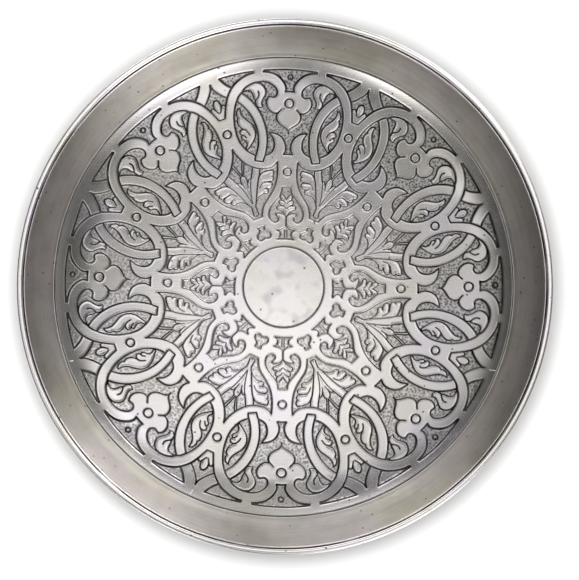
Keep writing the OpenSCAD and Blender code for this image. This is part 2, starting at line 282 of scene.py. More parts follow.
# %% [markdown]
# One lamp hangs overhead, a little below the camera, so the bowl's shadow is a little wider than its rim and
# shows all round it. The lamp's reflection would leave a hard spot in the polished metal, so light linking
# lets it reach only the floor. The bowl still casts its shadow there.

# %% Overhead lamp
LAMP_PLACE = Vector((-33, 1, 857)) * MM
LAMP_ACROSS = 86 * MM
LAMP_POWER = 16

lamp_data = bpy.data.lights.new("overhead_lamp", "AREA")
lamp_data.shape = "DISK"
lamp_data.size = LAMP_ACROSS
lamp_data.energy = LAMP_POWER
lamp = bpy.data.objects.new("overhead_lamp", lamp_data)
lamp.location = LAMP_PLACE
bpy.context.scene.collection.objects.link(lamp)
floor_only = bpy.data.collections.new("floor_only")
floor_only.objects.link(sweep)
lamp.light_linking.receiver_collection = floor_only
print("overhead lamp:", LAMP_POWER, "W")

# %% [markdown]
# ## Shared effects of the pewter
# Four effects come back in the finishes, so each is a node group. Tarnish gives pewter its patches of warm
# olive and cool violet. Handling leaves fine scratches in all directions. The lathe leaves rings. Casting
# leaves a few small dark pits. All of them read Object coordinates, which are metres here.

# %% Effect: tarnish tints
OLIVE, PLAIN, VIOLET = (0.605, 0.59, 0.54), (0.655, 0.637, 0.626), (0.64, 0.615, 0.65)
CLOUD_SCALE, CLOUD_TINT = 95.0, 0.12


def new_group(name, inputs, outputs):
    group = bpy.data.node_groups.new(name, "ShaderNodeTree")
    for label, value in inputs:
        socket = group.interface.new_socket(label, in_out="INPUT", socket_type="NodeSocketFloat")
        socket.default_value = value
    for label, kind in outputs:
        group.interface.new_socket(label, in_out="OUTPUT", socket_type=kind)
    print("group:", name)
    return group, group.nodes.new("NodeGroupInput").outputs, group.nodes.new("NodeGroupOutput").inputs


def object_place(tree):
    return tree.nodes.new("ShaderNodeTexCoord").outputs["Object"]


def noise(tree, vector, scale, detail=2.0, roughness=0.5):
    made = add(tree, "ShaderNodeTexNoise", Vector=vector, Scale=scale, Detail=detail, Roughness=roughness)
    return made.outputs["Fac"]


def ramp(tree, value, stops):
    made = add(tree, "ShaderNodeValToRGB", Fac=value)
    stop_list = made.color_ramp.elements
    while len(stop_list) < len(stops):
        stop_list.new(0.5)
    for stop, (place, colour) in zip(stop_list, stops):
        stop.position = place
        stop.color = (*colour, 1)
    return made.outputs["Color"]


def mix(tree, kind, amount, low, high, blend="MIX"):
    """Mixes colours (RGBA) or values (FLOAT)."""
    made = tree.nodes.new("ShaderNodeMix")
    made.data_type = kind
    if kind == "RGBA":
        made.blend_type = blend
    for socket, value in zip([s for s in made.inputs if s.enabled], (amount, low, high)):
        feed(tree, socket, value)
    return [s for s in made.outputs if s.enabled][0]


tarnish, given, result = new_group(
    "tarnish_tints", [("Size", 30.0)], [("Colour", "NodeSocketColor"), ("Cloud", "NodeSocketFloat")])
place = object_place(tarnish)
tints = ramp(tarnish, noise(tarnish, place, given["Size"], 3.0, 0.55),
             [(0.33, OLIVE), (0.5, PLAIN), (0.66, VIOLET)])
cloud = noise(tarnish, place, CLOUD_SCALE, 4.0, 0.6)
feed(tarnish, result["Colour"], mix(tarnish, "RGBA", CLOUD_TINT, tints, cloud, "MULTIPLY"))
feed(tarnish, result["Cloud"], cloud)

# %% [markdown]
# Scratches are noise that is stretched very long in one direction. Two layers at different angles are
# enough for the eye to read them as handling marks.

# %% Effect: handling scratches
SCRATCH_LONG, SCRATCH_LAYERS = 60, ((25, 2200), (-40, 2600))

scratches, _, result = new_group("handling_scratches", [], [("Height", "NodeSocketFloat")])
layers = []
for turn, fine in SCRATCH_LAYERS:
    turned = add(scratches, "ShaderNodeMapping", Vector=object_place(scratches),
                 Rotation=(0, 0, math.radians(turn)), Scale=(SCRATCH_LONG, fine, SCRATCH_LONG))
    layers.append(noise(scratches, turned.outputs["Vector"], 1.0))
feed(scratches, result["Height"], math_node(scratches, "ADD", *layers))

# %% [markdown]
# The cutter's rings depend only on the distance from the axis and the height, so the pattern is noise over
# those two. A little of the angle is added, so that no ring runs all the way round.

# %% Effect: lathe rings
RING_FINE, RING_BREAK = 1500.0, 9.0


def away_from_axis(tree):
    x, y, _ = add(tree, "ShaderNodeSeparateXYZ", Vector=object_place(tree)).outputs
    squares = [math_node(tree, "MULTIPLY", part, part) for part in (x, y)]
    return math_node(tree, "SQRT", math_node(tree, "ADD", *squares))


rings, _, result = new_group("lathe_rings", [], [("Height", "NodeSocketFloat")])
x, y, z = add(rings, "ShaderNodeSeparateXYZ", Vector=object_place(rings)).outputs
ring_place = add(rings, "ShaderNodeCombineXYZ",
                 X=math_node(rings, "MULTIPLY", away_from_axis(rings), RING_FINE),
                 Y=math_node(rings, "MULTIPLY", z, RING_FINE),
                 Z=math_node(rings, "MULTIPLY", math_node(rings, "ADD", x, y), RING_BREAK))
feed(rings, result["Height"], noise(rings, ring_place.outputs[0], 1.0, 3.0, 0.6))

# %% [markdown]
# A casting pit is a dot where a Voronoi cell's centre lies. Only cells with a high random number get one.

# %% Effect: casting pits
PIT_EDGE, PIT_CORE, PIT_CHANCE = 0.13, 0.06, 0.4

pits, given, result = new_group("casting_pits", [("Spread", 210.0)], [("Mask", "NodeSocketFloat")])
dots = add(pits, "ShaderNodeTexVoronoi", Vector=object_place(pits), Scale=given["Spread"]).outputs
near = add(pits, "ShaderNodeMapRange", Value=dots["Distance"], From_Min=PIT_EDGE, From_Max=PIT_CORE)
chance = add(pits, "ShaderNodeSeparateColor", Color=dots["Color"]).outputs[0]
rare = math_node(pits, "GREATER_THAN", chance, PIT_CHANCE)
feed(pits, result["Mask"], math_node(pits, "MULTIPLY", near.outputs["Result"], rare))

# %% [markdown]
# ## The finishes
# One function builds every pewter finish from the groups. A finish has its own roughness, its own depth of
# rings and scratches, and a mask that says where dark patina lies. Patina is metal too, only darker, so it
# changes the base colour and the roughness and leaves the rest.

# %% Pewter finishes
PATINA, PATINA_ROUGHNESS, PIT_SHARE = (0.007, 0.006, 0.007, 1), 0.55, 0.75
CLOUD_ROUGHNESS, RING_SHADE, CLOUD_SHADE = 0.10, 0.14, 0.10
RING_TONES, CLOUD_TONES = (0.3, 0.7), (0.3, 0.62)


def use_group(tree, group, **inputs):
    made = tree.nodes.new("ShaderNodeGroup")
    made.node_tree = group
    for key, value in inputs.items():
        made.inputs[key].default_value = value
    return made.outputs


def between(tree, value, low, high):
    made = add(tree, "ShaderNodeMapRange", Value=value, From_Min=low, From_Max=high)
    made.interpolation_type = "SMOOTHSTEP"
    return made.outputs["Result"]


def pewter(name, roughness, patina, rings_mm=0.0, scratches_mm=0.0, waves_mm=0.0, size=30.0, shade=(1, 1, 1)):
    """patina is a function that makes the dark mask in the material's own node tree."""
    material = new_material(name)
    tree = material.node_tree
    tint = use_group(tree, tarnish, Size=size)
    turned = use_group(tree, rings)["Height"] if rings_mm else None
    rubbed = use_group(tree, scratches)["Height"] if scratches_mm else None
    dots = math_node(tree, "MULTIPLY", use_group(tree, pits)["Mask"], PIT_SHARE)
    mask = math_node(tree, "MAXIMUM", patina(tree), dots)
    clean = mix(tree, "RGBA", 1.0, tint["Colour"], (*shade, 1), "MULTIPLY")
    if waves_mm:
        clean = mix(tree, "RGBA", RING_SHADE, clean, between(tree, turned, *RING_TONES), "MULTIPLY")
        clean = mix(tree, "RGBA", CLOUD_SHADE, clean, between(tree, tint["Cloud"], *CLOUD_TONES), "MULTIPLY")
    cloudy = math_node(tree, "MULTIPLY_ADD", tint["Cloud"], CLOUD_ROUGHNESS, roughness - CLOUD_ROUGHNESS / 2)
    metal = add(tree, "ShaderNodeBsdfPrincipled", Metallic=1.0,
                Base_Color=mix(tree, "RGBA", mask, clean, PATINA),
                Roughness=mix(tree, "FLOAT", mask, cloudy, PATINA_ROUGHNESS))
    normal = None
    for height, depth in ((tint["Cloud"], waves_mm), (turned, rings_mm), (rubbed, scratches_mm)):
        if depth:
            bump = add(tree, "ShaderNodeBump", Height=height, Strength=1.0, Distance=depth * MM)
            if normal is not None:
                tree.links.new(normal, bump.inputs["Normal"])
            normal = bump.outputs["Normal"]
    if normal is not None:
        tree.links.new(normal, metal.inputs["Normal"])
    add(tree, "ShaderNodeOutputMaterial", Surface=metal.outputs[0])
    print("finish:", name)
    return material


# %% [markdown]
# ## The wall and the rim
# The wall is a turned ring: its inside curves up from the seam at the carved plate to the lip, and its foot
# carries a ledge for the plate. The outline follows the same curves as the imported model, with more points.
# Its sharp corners get a small bevel, because a real edge always catches some light.

# %% Curves of the bowl
DISH_R, SHOULDER_R, DISC_R, EDGE_SLOPE = 420.0, 84.0, 100.0, 30.0
SHOULDER_SLOPE = math.degrees(math.asin(SHOULDER_R / DISH_R))
TURN_R = (DISC_R - SHOULDER_R) / (sin_d(EDGE_SLOPE) - SHOULDER_R / DISH_R)
WALL_FOOT_SLOPE, WALL_LIP_SLOPE, WALL_FOOT_T, WALL_LIP_T = 48.0, 66.0, 3.0, 1.9
SEAM_GAP, RIM_W, OVERALL_H, BOWL_R = 0.3, 3.7, 100.0, 115.0
BEAD_R, BEAD_UP = 1.4, 0.9
DISC_T, DISC_EDGE_T, LEDGE_W = 3.2, 1.4, 4.5

lip_r, wall_foot_r = BOWL_R - RIM_W, DISC_R + SEAM_GAP
wall_r = (lip_r - wall_foot_r) / (sin_d(WALL_LIP_SLOPE) - sin_d(WALL_FOOT_SLOPE))
lip_z = OVERALL_H - BEAD_UP - BEAD_R
seam_z = lip_z - wall_r * (cos_d(WALL_FOOT_SLOPE) - cos_d(WALL_LIP_SLOPE))
floor_z = (seam_z - DISH_R * (1 - cos_d(SHOULDER_SLOPE))
           - TURN_R * (cos_d(SHOULDER_SLOPE) - cos_d(EDGE_SLOPE)))
dish_centre = (0.0, floor_z + DISH_R)
turn_centre = ((DISH_R - TURN_R) * sin_d(SHOULDER_SLOPE),
               dish_centre[1] - (DISH_R - TURN_R) * cos_d(SHOULDER_SLOPE))
wall_centre = (wall_foot_r - wall_r * sin_d(WALL_FOOT_SLOPE), seam_z + wall_r * cos_d(WALL_FOOT_SLOPE))
ledge_slope = math.degrees(math.asin(sin_d(EDGE_SLOPE) - LEDGE_W / TURN_R))
print("floor at", round(floor_z, 2), "seam at", round(seam_z, 2), "lip at", round(lip_z, 2))

# %% [markdown]
# The wall's line goes once round its section: along the ledge, over the small step at the seam, up the
# inside, across the lip and down the outside. The wall is thicker at its foot, as a cast wall is.

# %% Bowl wall
WALL_STEPS, LEDGE_STEPS, STEP_W, STEP_UP, STEP_SLOPE = 28, 8, 0.45, 0.03, 1.7
SEAM_DARK_W, SEAM_PATCHES = 0.3, 60.0

wall_outside = []
for k in np.linspace(1, 0, WALL_STEPS + 1):
    slope = WALL_FOOT_SLOPE + (WALL_LIP_SLOPE - WALL_FOOT_SLOPE) * k
    thick = WALL_FOOT_T + (WALL_LIP_T - WALL_FOOT_T) * k
    wall_outside += arc(wall_centre, wall_r + thick, slope, slope, 0)
wall_line = arc(turn_centre, TURN_R + DISC_EDGE_T, ledge_slope, EDGE_SLOPE, LEDGE_STEPS)
wall_line += [(wall_foot_r, seam_z), (wall_foot_r + STEP_W, seam_z + STEP_UP)]
wall_line += arc(wall_centre, wall_r, WALL_FOOT_SLOPE + STEP_SLOPE, WALL_LIP_SLOPE, WALL_STEPS)
wall_line += [(lip_r + WALL_LIP_T / sin_d(WALL_LIP_SLOPE), lip_z)] + wall_outside
wall_line += arc(turn_centre, TURN_R + DISC_T, EDGE_SLOPE, ledge_slope, LEDGE_STEPS)
bowl_wall = turn_on_lathe("bowl_wall_turned", wall_line, edge=0.12)


def wall_patina(tree):
    """Dark in the seam at the wall's foot, in patches."""
    seam = between(tree, away_from_axis(tree), (wall_foot_r + SEAM_DARK_W) * MM, wall_foot_r * MM)
    patches = between(tree, noise(tree, object_place(tree), SEAM_PATCHES), 0.3, 0.5)
    return math_node(tree, "MULTIPLY", seam, patches)


bowl_wall.data.materials.append(pewter(
    "wall_pewter", 0.38, wall_patina, rings_mm=0.010, scratches_mm=0.004, waves_mm=0.10, size=34.0,
    shade=(1.05, 1.04, 0.99)))

# %% [markdown]
# The rim is a moulding soldered on the lip: a fine reed inside and a bead outside. The reed is an arc. The
# bead is an arc too, made a little flat on top, as beads are that have been handled and polished for long.
# Dark polish stays in the quirk between them, so the finish has patina at that radius.

# %% Rim bead
REED_R, REED_STEPS, BEAD_STEPS, BEAD_POWER = 0.45, 10, 36, 3.0
QUIRK_IN_W, QUIRK_OUT_W, QUIRK_FULL_W, QUIRK_PATCHES = 0.35, 0.32, 0.05, 45.0

reed_centre = (lip_r + REED_R, lip_z + REED_R)
bead_centre = (BOWL_R - BEAD_R, lip_z + BEAD_UP)
bead_end = 90 - math.degrees(math.asin(BEAD_UP / BEAD_R))
rim_line = [(lip_r, lip_z)] + arc(reed_centre, REED_R, 270, 90, REED_STEPS)
for across, up in arc((0, 0), 1, 270, bead_end, BEAD_STEPS):
    if up > 0:
        flatter = (abs(across) ** BEAD_POWER + up ** BEAD_POWER) ** (-1 / BEAD_POWER)
        across, up = across * flatter, up * flatter
    rim_line.append((bead_centre[0] + BEAD_R * across, bead_centre[1] + BEAD_R * up))
rim_bead = turn_on_lathe("rim_bead_turned", rim_line)


def rim_patina(tree):
    """Dark in the quirk between reed and bead, worn away in places."""
    away, quirk_r = away_from_axis(tree), bead_centre[0] - BEAD_R
    inner = between(tree, away, (quirk_r - QUIRK_IN_W) * MM, (quirk_r - QUIRK_FULL_W) * MM)
    outer = between(tree, away, (quirk_r + QUIRK_OUT_W) * MM, (quirk_r + QUIRK_FULL_W) * MM)
    left = between(tree, noise(tree, object_place(tree), QUIRK_PATCHES), 0.25, 0.5)
    return math_node(tree, "MULTIPLY", math_node(tree, "MULTIPLY", inner, outer), left)


rim_bead.data.materials.append(pewter(
    "rim_pewter", 0.24, rim_patina, scratches_mm=0.004, size=40.0, shade=(1.16, 1.16, 1.16)))

# %% [markdown]
# ## The centre roundel
# A plain polished roundel covers the top end of the tie stud. Its face goes on with the dish of the plate,
# and a boss under it is drilled for the stud. It drops into a round recess, and the gap round it is dark.

# %% Centre roundel
EYE_R, EYE_DEPTH, EYE_GAP = 18.1, 1.4, 0.25
BOSS_R, BOSS_REACH, STUD_D, STUD_GRIP = 5.0, 3.0, 6.0, 4.0
EYE_DARK_W, EYE_FULL_W, SMUDGE_SCALE, SMUDGE = 0.45, 0.1, 120.0, 0.16
disc_low_z = floor_z - DISC_T
boss_low_z = disc_low_z - BOSS_REACH
stud_top_z = boss_low_z + STUD_GRIP


def dish_line(sunk, start, end, steps):
    """Points on the dish between two distances from the axis, sunk below its face."""
    return [(r, dish_centre[1] - math.sqrt((DISH_R + sunk) ** 2 - r ** 2))
            for r in np.linspace(start, end, steps)]


roundel_r = EYE_R - EYE_GAP
roundel_line = [(0, stud_top_z), (STUD_D / 2, stud_top_z), (STUD_D / 2, boss_low_z), (BOSS_R, boss_low_z)]
roundel_line += dish_line(EYE_DEPTH, BOSS_R, roundel_r, 6) + dish_line(0, roundel_r, 0, 25)
roundel = turn_on_lathe("centre_roundel_turned", roundel_line, edge=0.35, closed=False)


def roundel_patina(tree):
    """Dark round the edge, and faint smudges on the face."""
    edge = between(tree, away_from_axis(tree), (roundel_r - EYE_DARK_W) * MM, (roundel_r - EYE_FULL_W) * MM)
    smudge = between(tree, noise(tree, object_place(tree), SMUDGE_SCALE, 1.0), 0.5, 0.7)
    return math_node(tree, "MAXIMUM", edge, math_node(tree, "MULTIPLY", smudge, SMUDGE))


roundel.data.materials.append(pewter(
    "roundel_pewter", 0.27, roundel_patina, scratches_mm=0.004, size=60.0, shade=(1.03, 1.03, 1.03)))

# %% [markdown]
# ## The pattern on the plate
# The plate's pattern repeats eight times, and each repeat is the same left and right. So only half a repeat
# is drawn: a slice from its middle line, where u is 0, to its edge, at 22.5 degrees. A point is written as
# (u, v) in mm, across and outwards. A line is a few smooth runs, with a corner where one run meets the next.
# A line marked "middle" or "edge" is mirrored there, and a line marked "whole" closes on itself.

# %% Drawing: sunk grounds between the straps
GROUNDS = [
    ("middle", [[(0, 21.85), (2.0, 21.8), (3.8, 21.6)],
                [(3.8, 21.6), (2.7, 22.6), (2.35, 23.7), (2.7, 24.8), (4.0, 25.6)],
                [(4.0, 25.6), (2.4, 25.95), (1.1, 26.6), (0, 27.7)]]),
    ("edge", [[(9.05, 21.85), (8.2, 21.8), (7.2, 22.0), (6.55, 22.6), (6.5, 23.4), (7.0, 24.3), (7.9, 24.8),
               (8.9, 25.2), (9.6, 25.8)],
              [(9.6, 25.8), (9.55, 26.4), (9.8, 26.95)],
              [(9.8, 26.95), (10.5, 26.7), (11.05, 26.68)]]),
    ("middle", [[(0, 31.5), (0.5, 32.1), (1.4, 32.7), (2.5, 33.1), (3.7, 33.2), (4.7, 32.8)],
                [(4.7, 32.8), (4.3, 31.9), (3.6, 31.2), (3.35, 30.4), (3.9, 29.5), (5.0, 29.1), (6.1, 29.5),
                 (7.1, 30.5), (7.6, 31.9), (7.6, 33.6), (7.0, 35.4), (5.8, 37.3), (4.3, 39.2), (3.0, 40.8),
                 (2.3, 42.2), (2.0, 43.4), (1.9, 44.5)],
                [(1.9, 44.5), (0, 44.6)]]),
    ("edge", [[(12.59, 30.4), (11.7, 30.8), (10.75, 31.2)],
              [(10.75, 31.2), (10.65, 33), (10.35, 35.2), (9.5, 37.3), (8.3, 39.2), (7.0, 41.3), (5.9, 43.4),
               (5.0, 46), (4.5, 48.8), (4.35, 52), (4.6, 55.7)],
              [(4.6, 55.7), (5.6, 54.3), (7.2, 53.1), (9.2, 52.45), (11.6, 52.2), (14, 52.35), (16.2, 52.95),
               (18.4, 54.0), (20.4, 55.3), (22.3, 56.9), (23.8, 58.5), (24.87, 60.04)]]),
    ("middle", [[(0, 59.1), (2.0, 59.0)],
                [(2.0, 59.0), (1.4, 60.2), (1.1, 61.6), (1.25, 63.2), (1.8, 64.8), (2.9, 66.4), (4.4, 67.5),
                 (6.3, 68.15), (8.65, 68.45)],
                [(8.65, 68.45), (7.9, 67.3), (7.0, 66), (6.45, 64.5), (6.3, 62.8), (6.6, 61.1), (7.4, 59.7),
                 (8.6, 58.8), (10.1, 58.1)],
                [(10.1, 58.1), (9.75, 60.2), (9.55, 62.4), (9.5, 64.6), (9.65, 67), (10.1, 69.5),
                 (10.9, 72.2),
                 (12.0, 74.9), (13.4, 77.4), (15.2, 79.8), (17.3, 81.9), (19.6, 83.7), (21.7, 84.9)],
                [(21.7, 84.9), (20.6, 86.9), (18.8, 88.5), (16.8, 89.6), (14.8, 90.2), (12.6, 90.5),
                 (10.4, 90.3), (8.4, 89.5), (6.8, 88.3), (5.75, 86.7), (5.7, 85.3), (6.3, 84.3), (7.3, 83.8),
                 (8.3, 84.0), (9.4, 84.0)],
                [(9.4, 84.0), (10.05, 83), (10.4, 81.7), (10.2, 80.2), (9.3, 78.6), (7.9, 77.4), (6.4, 76.9),
                 (5.0, 77.2)],
                [(5.0, 77.2), (5.5, 76.2), (5.6, 75.0), (5.1, 73.6), (4.2, 72.5), (3.0, 71.7), (1.6, 70.9),
                 (0.5, 70.0), (0, 69.3)]]),
    ("whole", [[(14.2, 58.0), (16.2, 58.6), (18, 59.6), (19.9, 61.3), (21.6, 63.3), (22.9, 65.7),
                (23.8, 68.4),
                (24.5, 71.2), (24.8, 74), (24.75, 76.8), (24.4, 79.2), (23.8, 81.2)],
               [(23.8, 81.2), (22.0, 80.1), (20.2, 78.7), (18.5, 76.9), (17.0, 75), (15.7, 72.8),
                (14.6, 70.4),
                (13.9, 68), (13.5, 65.5), (13.4, 63), (13.7, 60.4), (14.2, 58.0)]]),
    ("edge", [[(30.2, 72.9), (28.9, 73.45)],
              [(28.9, 73.45), (28.85, 76), (28.7, 79), (28.45, 81), (28.2, 82.5)],
              [(28.2, 82.5), (29.9, 83), (31.7, 83.8), (33.5, 84.85), (35.2, 86.1), (36.4, 87.88)]]),
    ("whole", [[(26.2, 87.1), (25.2, 88.6), (23.9, 90), (22.3, 91.4), (20.4, 92.7), (18.6, 93.6),
                (16.8, 94.2)],
               [(16.8, 94.2), (17.0, 94.9)],
               [(17.0, 94.9), (20.7, 94.15), (24.5, 93.2), (28.4, 92.1), (32.4, 90.85)],
               [(32.4, 90.85), (30.9, 89.6), (29.4, 88.5), (27.9, 87.7), (26.2, 87.1)]]),
    ("middle", [[(0, 86.6), (2.05, 86.5)],
                [(2.05, 86.5), (1.75, 87.6), (1.95, 89), (2.7, 90.4), (3.9, 91.9), (5.4, 93.2), (7.2, 94.2),
                 (9.4, 94.8), (12.4, 95.0)],
                [(12.4, 95.0), (12.3, 95.6)],
                [(12.3, 95.6), (8, 96.1), (4, 96.4), (0, 96.45)]]),
]

print(len(GROUNDS), "grounds")

# %% [markdown]
# Leaves and buds are left standing in the grounds. Three of them meet the edge of the repeat. They are marked
# "both": the line closes on itself, and there is a mirrored copy of it past the edge.

# %% Drawing: leaves and buds that stand in the grounds
LEAVES = [
    ("middle", [[(0, 31.9), (0.9, 32.9), (1.9, 33.9), (3.1, 34.5), (4.1, 34.9), (4.35, 35.7), (3.6, 36.5)],
                [(3.6, 36.5), (2.6, 36.6), (1.7, 36.4)],
                [(1.7, 36.4), (2.6, 36.9), (3.3, 37.6), (3.2, 38.4), (2.6, 38.9)],
                [(2.6, 38.9), (1.9, 38.8), (1.4, 38.5)],
                [(1.4, 38.5), (2.3, 39.1), (2.8, 40.1), (2.6, 41.1), (1.7, 41.5)],
                [(1.7, 41.5), (0.9, 40.6), (0, 39.2)]]),
    ("both", [[(14.2, 31.3), (12.95, 31.3)],
              [(12.95, 31.3), (13.2, 32.5), (13.5, 34.5), (13.5, 36.8), (12.85, 38.9), (11.8, 40.3),
               (10.4, 41.4)],
              [(10.4, 41.4), (9.3, 41.4), (8.4, 41.9), (8.15, 42.7), (8.5, 43.3), (9.6, 43.65)],
              [(9.6, 43.65), (7.9, 43.75), (6.9, 44.4), (6.4, 45.3), (6.7, 46.2), (8.0, 46.55), (10.2, 46.4)],
              [(10.2, 46.4), (8, 46.75), (6.7, 47.1), (6.1, 47.9), (6.15, 48.7), (6.75, 49.1)],
              [(6.75, 49.1), (6.2, 49.6), (5.95, 50.3), (6.0, 51.1), (6.6, 51.9)],
              [(6.6, 51.9), (7.9, 51.75), (9.3, 51.3), (10.7, 50.75), (11.7, 50.1), (12.3, 49.2)],
              [(12.3, 49.2), (12.2, 52.8)],
              [(12.2, 52.8), (15.6, 53.4)],
              [(15.6, 53.4), (15.7, 51), (15.9, 49), (16.1, 47.5)],
              [(16.1, 47.5), (16.8, 47.5), (17.3, 46.8), (17.5, 45.7)],
              [(17.5, 45.7), (17.75, 46.7), (18.3, 47.7), (19.1, 48.3), (20.05, 48.4)],
              [(20.05, 48.4), (20.6, 48.15)],
              [(20.6, 48.15), (16.4, 37.5)], [(16.4, 37.5), (14.2, 31.3)]]),
    ("both", [[(19.25, 48.2), (19.4, 51.0), (19.35, 54.6)], [(19.35, 54.6), (20.3, 55.6)],
              [(20.3, 55.6), (20.35, 52.5), (20.15, 50.4), (20.0, 48.2)], [(20.0, 48.2), (19.25, 48.2)]]),
    ("whole", [[(11.9, 79.4), (13.2, 79.05), (14.4, 79.4), (15.15, 80.5), (15.4, 81.9)],
               [(15.4, 81.9), (16.1, 82.9), (16.5, 84.1), (17.1, 85.4), (18.3, 86.2), (19.8, 86.0),
                (21.3, 85.2)],
               [(21.3, 85.2), (20.2, 87.2), (18.5, 88.6), (16.6, 89.5), (14.8, 89.8), (13.2, 89.5),
                (11.9, 88.5),
                (11.0, 87.2), (10.7, 85.9), (11.0, 84.6), (11.6, 83.4), (12.2, 82.1), (12.4, 80.8),
                (11.9, 79.4)]]),
    ("whole", [[(18.0, 60.3), (17.25, 61.4), (16.3, 62.9), (15.35, 64.7), (14.85, 66.6), (14.95, 68.6),
                (15.65, 70.3),
                (16.9, 71.8), (18.6, 73.0), (20.1, 74.1), (21.2, 75.2), (21.95, 76.6), (22.3, 78.3)],
               [(22.3, 78.3), (23.2, 77.7), (23.8, 76.3), (23.6, 74.8), (23.05, 74.0)],
               [(23.05, 74.0), (23.4, 73.1), (23.2, 71.9), (22.4, 70.6), (21.3, 69.7), (20.0, 69.1)],
               [(20.0, 69.1), (21.4, 68.7), (21.95, 67.8), (21.6, 66.9), (20.6, 66.7)],
               [(20.6, 66.7), (21.1, 66), (20.9, 65.1), (20.1, 64.6)],
               [(20.1, 64.6), (19.2, 64.1), (18.6, 63.3), (18.4, 62.3), (18.8, 61.2)],
               [(18.8, 61.2), (18.5, 60.5), (18.0, 60.3)]]),
    ("both", [[(28.4, 72.6), (28.4, 77.7)],
              [(28.4, 77.7), (28.7, 78.6), (29.3, 79.2), (30.0, 79.3), (30.5, 78.9), (30.7, 78.1)],
              [(30.7, 78.1), (31.0, 79.3), (31.6, 80.3), (32.5, 80.95), (33.55, 81.0)],
              [(33.55, 81.0), (34.1, 80.78)],
              [(34.1, 80.78), (33.0, 76.9)], [(33.0, 76.9), (31.6, 71.8)], [(31.6, 71.8), (28.4, 72.6)]]),
]

print(len(LEAVES), "leaves and buds")

# %% [markdown]
# The graver's own lines come last: rings round a centre, lines where one strap passes over another, and veins
# in the leaves.

# %% Drawing: engraved lines and rings
RINGS = [((0, 51.4), 1.75), ((0, 81.45), 1.95), ((27.553, 66.519), 1.75), ((0, 93.0), 1.05)]
LINES = [
    [[(23.8, 81.1), (23.2, 83), (21.9, 85)]],
    [[(28.2, 82.5), (27.3, 85), (26.2, 87.2)]],
    [[(10.1, 58.2), (10.6, 56.8), (11.0, 55.3)], [(11.0, 55.3), (14.4, 55.6)],
     [(14.4, 55.6), (14.5, 56.5), (14.2, 58)]],
    [[(5.0, 77.2), (4.3, 77.9), (3.6, 78.7)]],
    [[(0, 69.3), (0, 68.1)]],
    [[(0, 27.6), (0, 31.6)]],
    [[(13.4, 38), (13.3, 42), (13.1, 45), (12.8, 47.4), (12.3, 49.2)]],
]
VEINS = [
    [[(0.5, 22.2), (0.5, 25.8)]],
    [[(1.7, 36.4), (0.9, 36.0), (0.3, 35.2)]],
    [[(1.4, 38.5), (0.8, 38.1), (0.3, 37.4)]],
    [[(16.1, 47.5), (16.2, 44.5), (15.9, 41), (15.4, 38), (15.1, 36.6)]],
    [[(17.5, 45.7), (17.45, 44.6), (17.25, 43.4)]],
    [[(30.7, 78.1), (30.8, 77.1), (31.05, 75.9)]],
    [[(10.2, 46.4), (11.1, 45.7), (11.7, 44.7), (12.1, 43.5)]],
    [[(15.4, 81.9), (14.7, 82.8), (14.1, 83.8), (13.9, 84.9), (14.3, 86.0)]],
    [[(20.0, 69.1), (18.9, 68.5), (18.1, 67.7), (17.5, 66.8)]],
    [[(20.5, 66.6), (19.7, 66.2), (19.0, 65.6)]],
]
print(len(RINGS) + len(LINES) + len(VEINS), "engraved lines")

# %% [markdown]
# The drawing becomes curves first. A curve passes through all the points of its run, and its direction at a
# point follows the two neighbours. Then the lines are mirrored and closed. A Bezier curve object could do
# this as well, but the carving below needs the points as plain numbers.

# %% Curves from the drawing
REPEATS = 8
HALF_REPEAT = math.pi / REPEATS
CURVE_STEP, RING_POINTS = 0.25, 73
edge_line = np.array((math.sin(HALF_REPEAT), math.cos(HALF_REPEAT)))


def smooth_run(points):
    p = np.array(points, float)
    if len(p) == 2:
        return p
    gaps = np.linalg.norm(np.diff(p, axis=0), axis=1)
    slopes = np.diff(p, axis=0) / gaps[:, None]
    way = np.vstack([slopes[:1], (slopes[1:] * gaps[:-1, None] + slopes[:-1] * gaps[1:, None])
                     / (gaps[1:] + gaps[:-1])[:, None], slopes[-1:]])
    way[0], way[-1] = 1.5 * slopes[0] - 0.5 * way[1], 1.5 * slopes[-1] - 0.5 * way[-2]
    curve = []
    for i, gap in enumerate(gaps):
        t = np.linspace(0, 1, max(2, math.ceil(gap / CURVE_STEP)), endpoint=False)[:, None]
        curve.append(p[i] * (1 + 2 * t) * (1 - t) ** 2 + p[i + 1] * t * t * (3 - 2 * t)
                     + gap * (way[i] * t * (1 - t) ** 2 - way[i + 1] * t * t * (1 - t)))
    return np.vstack([*curve, p[-1:]])


def joined(runs):
    return np.vstack([smooth_run(run) for run in runs])


def mirrored(line, where):
    if where == "middle":
        return line * (-1, 1)
    return 2 * np.outer(line @ edge_line, edge_line) - line


def closed_lines(how, runs):
    line = joined(runs)
    if how in ("middle", "edge"):
        return [np.vstack([line, mirrored(line, how)[::-1], line[:1]])]
    line = np.vstack([line, line[:1]])
    return [line, mirrored(line, "edge")] if how == "both" else [line]


ground_lines = [line for how, runs in GROUNDS for line in closed_lines(how, runs)]
leaf_lines = [line for how, runs in LEAVES for line in closed_lines(how, runs)]
vein_lines = [joined(runs) for runs in VEINS]
cut_lines = [joined(runs) for runs in LINES]
round_turn = np.linspace(0, 2 * math.pi, RING_POINTS)
for centre, radius in RINGS:
    cut_lines.append(np.array(centre) + radius * np.stack([np.cos(round_turn), np.sin(round_turn)], -1))
print(sum(map(len, ground_lines + leaf_lines + vein_lines + cut_lines)), "points on the curves")

# %% [markdown]
# For every point of a fine grid the distance to the nearest curve is worked out, with a plus sign inside a
# closed line. Distances make carving easy: a groove is a dip where the distance is small, and a sunk ground
# is where it is positive. The last helper goes smoothly from 0 to 1 between two distances, both in mm.

# %% Distances to the curves
FAR, NEAR = 9.0, 3.0


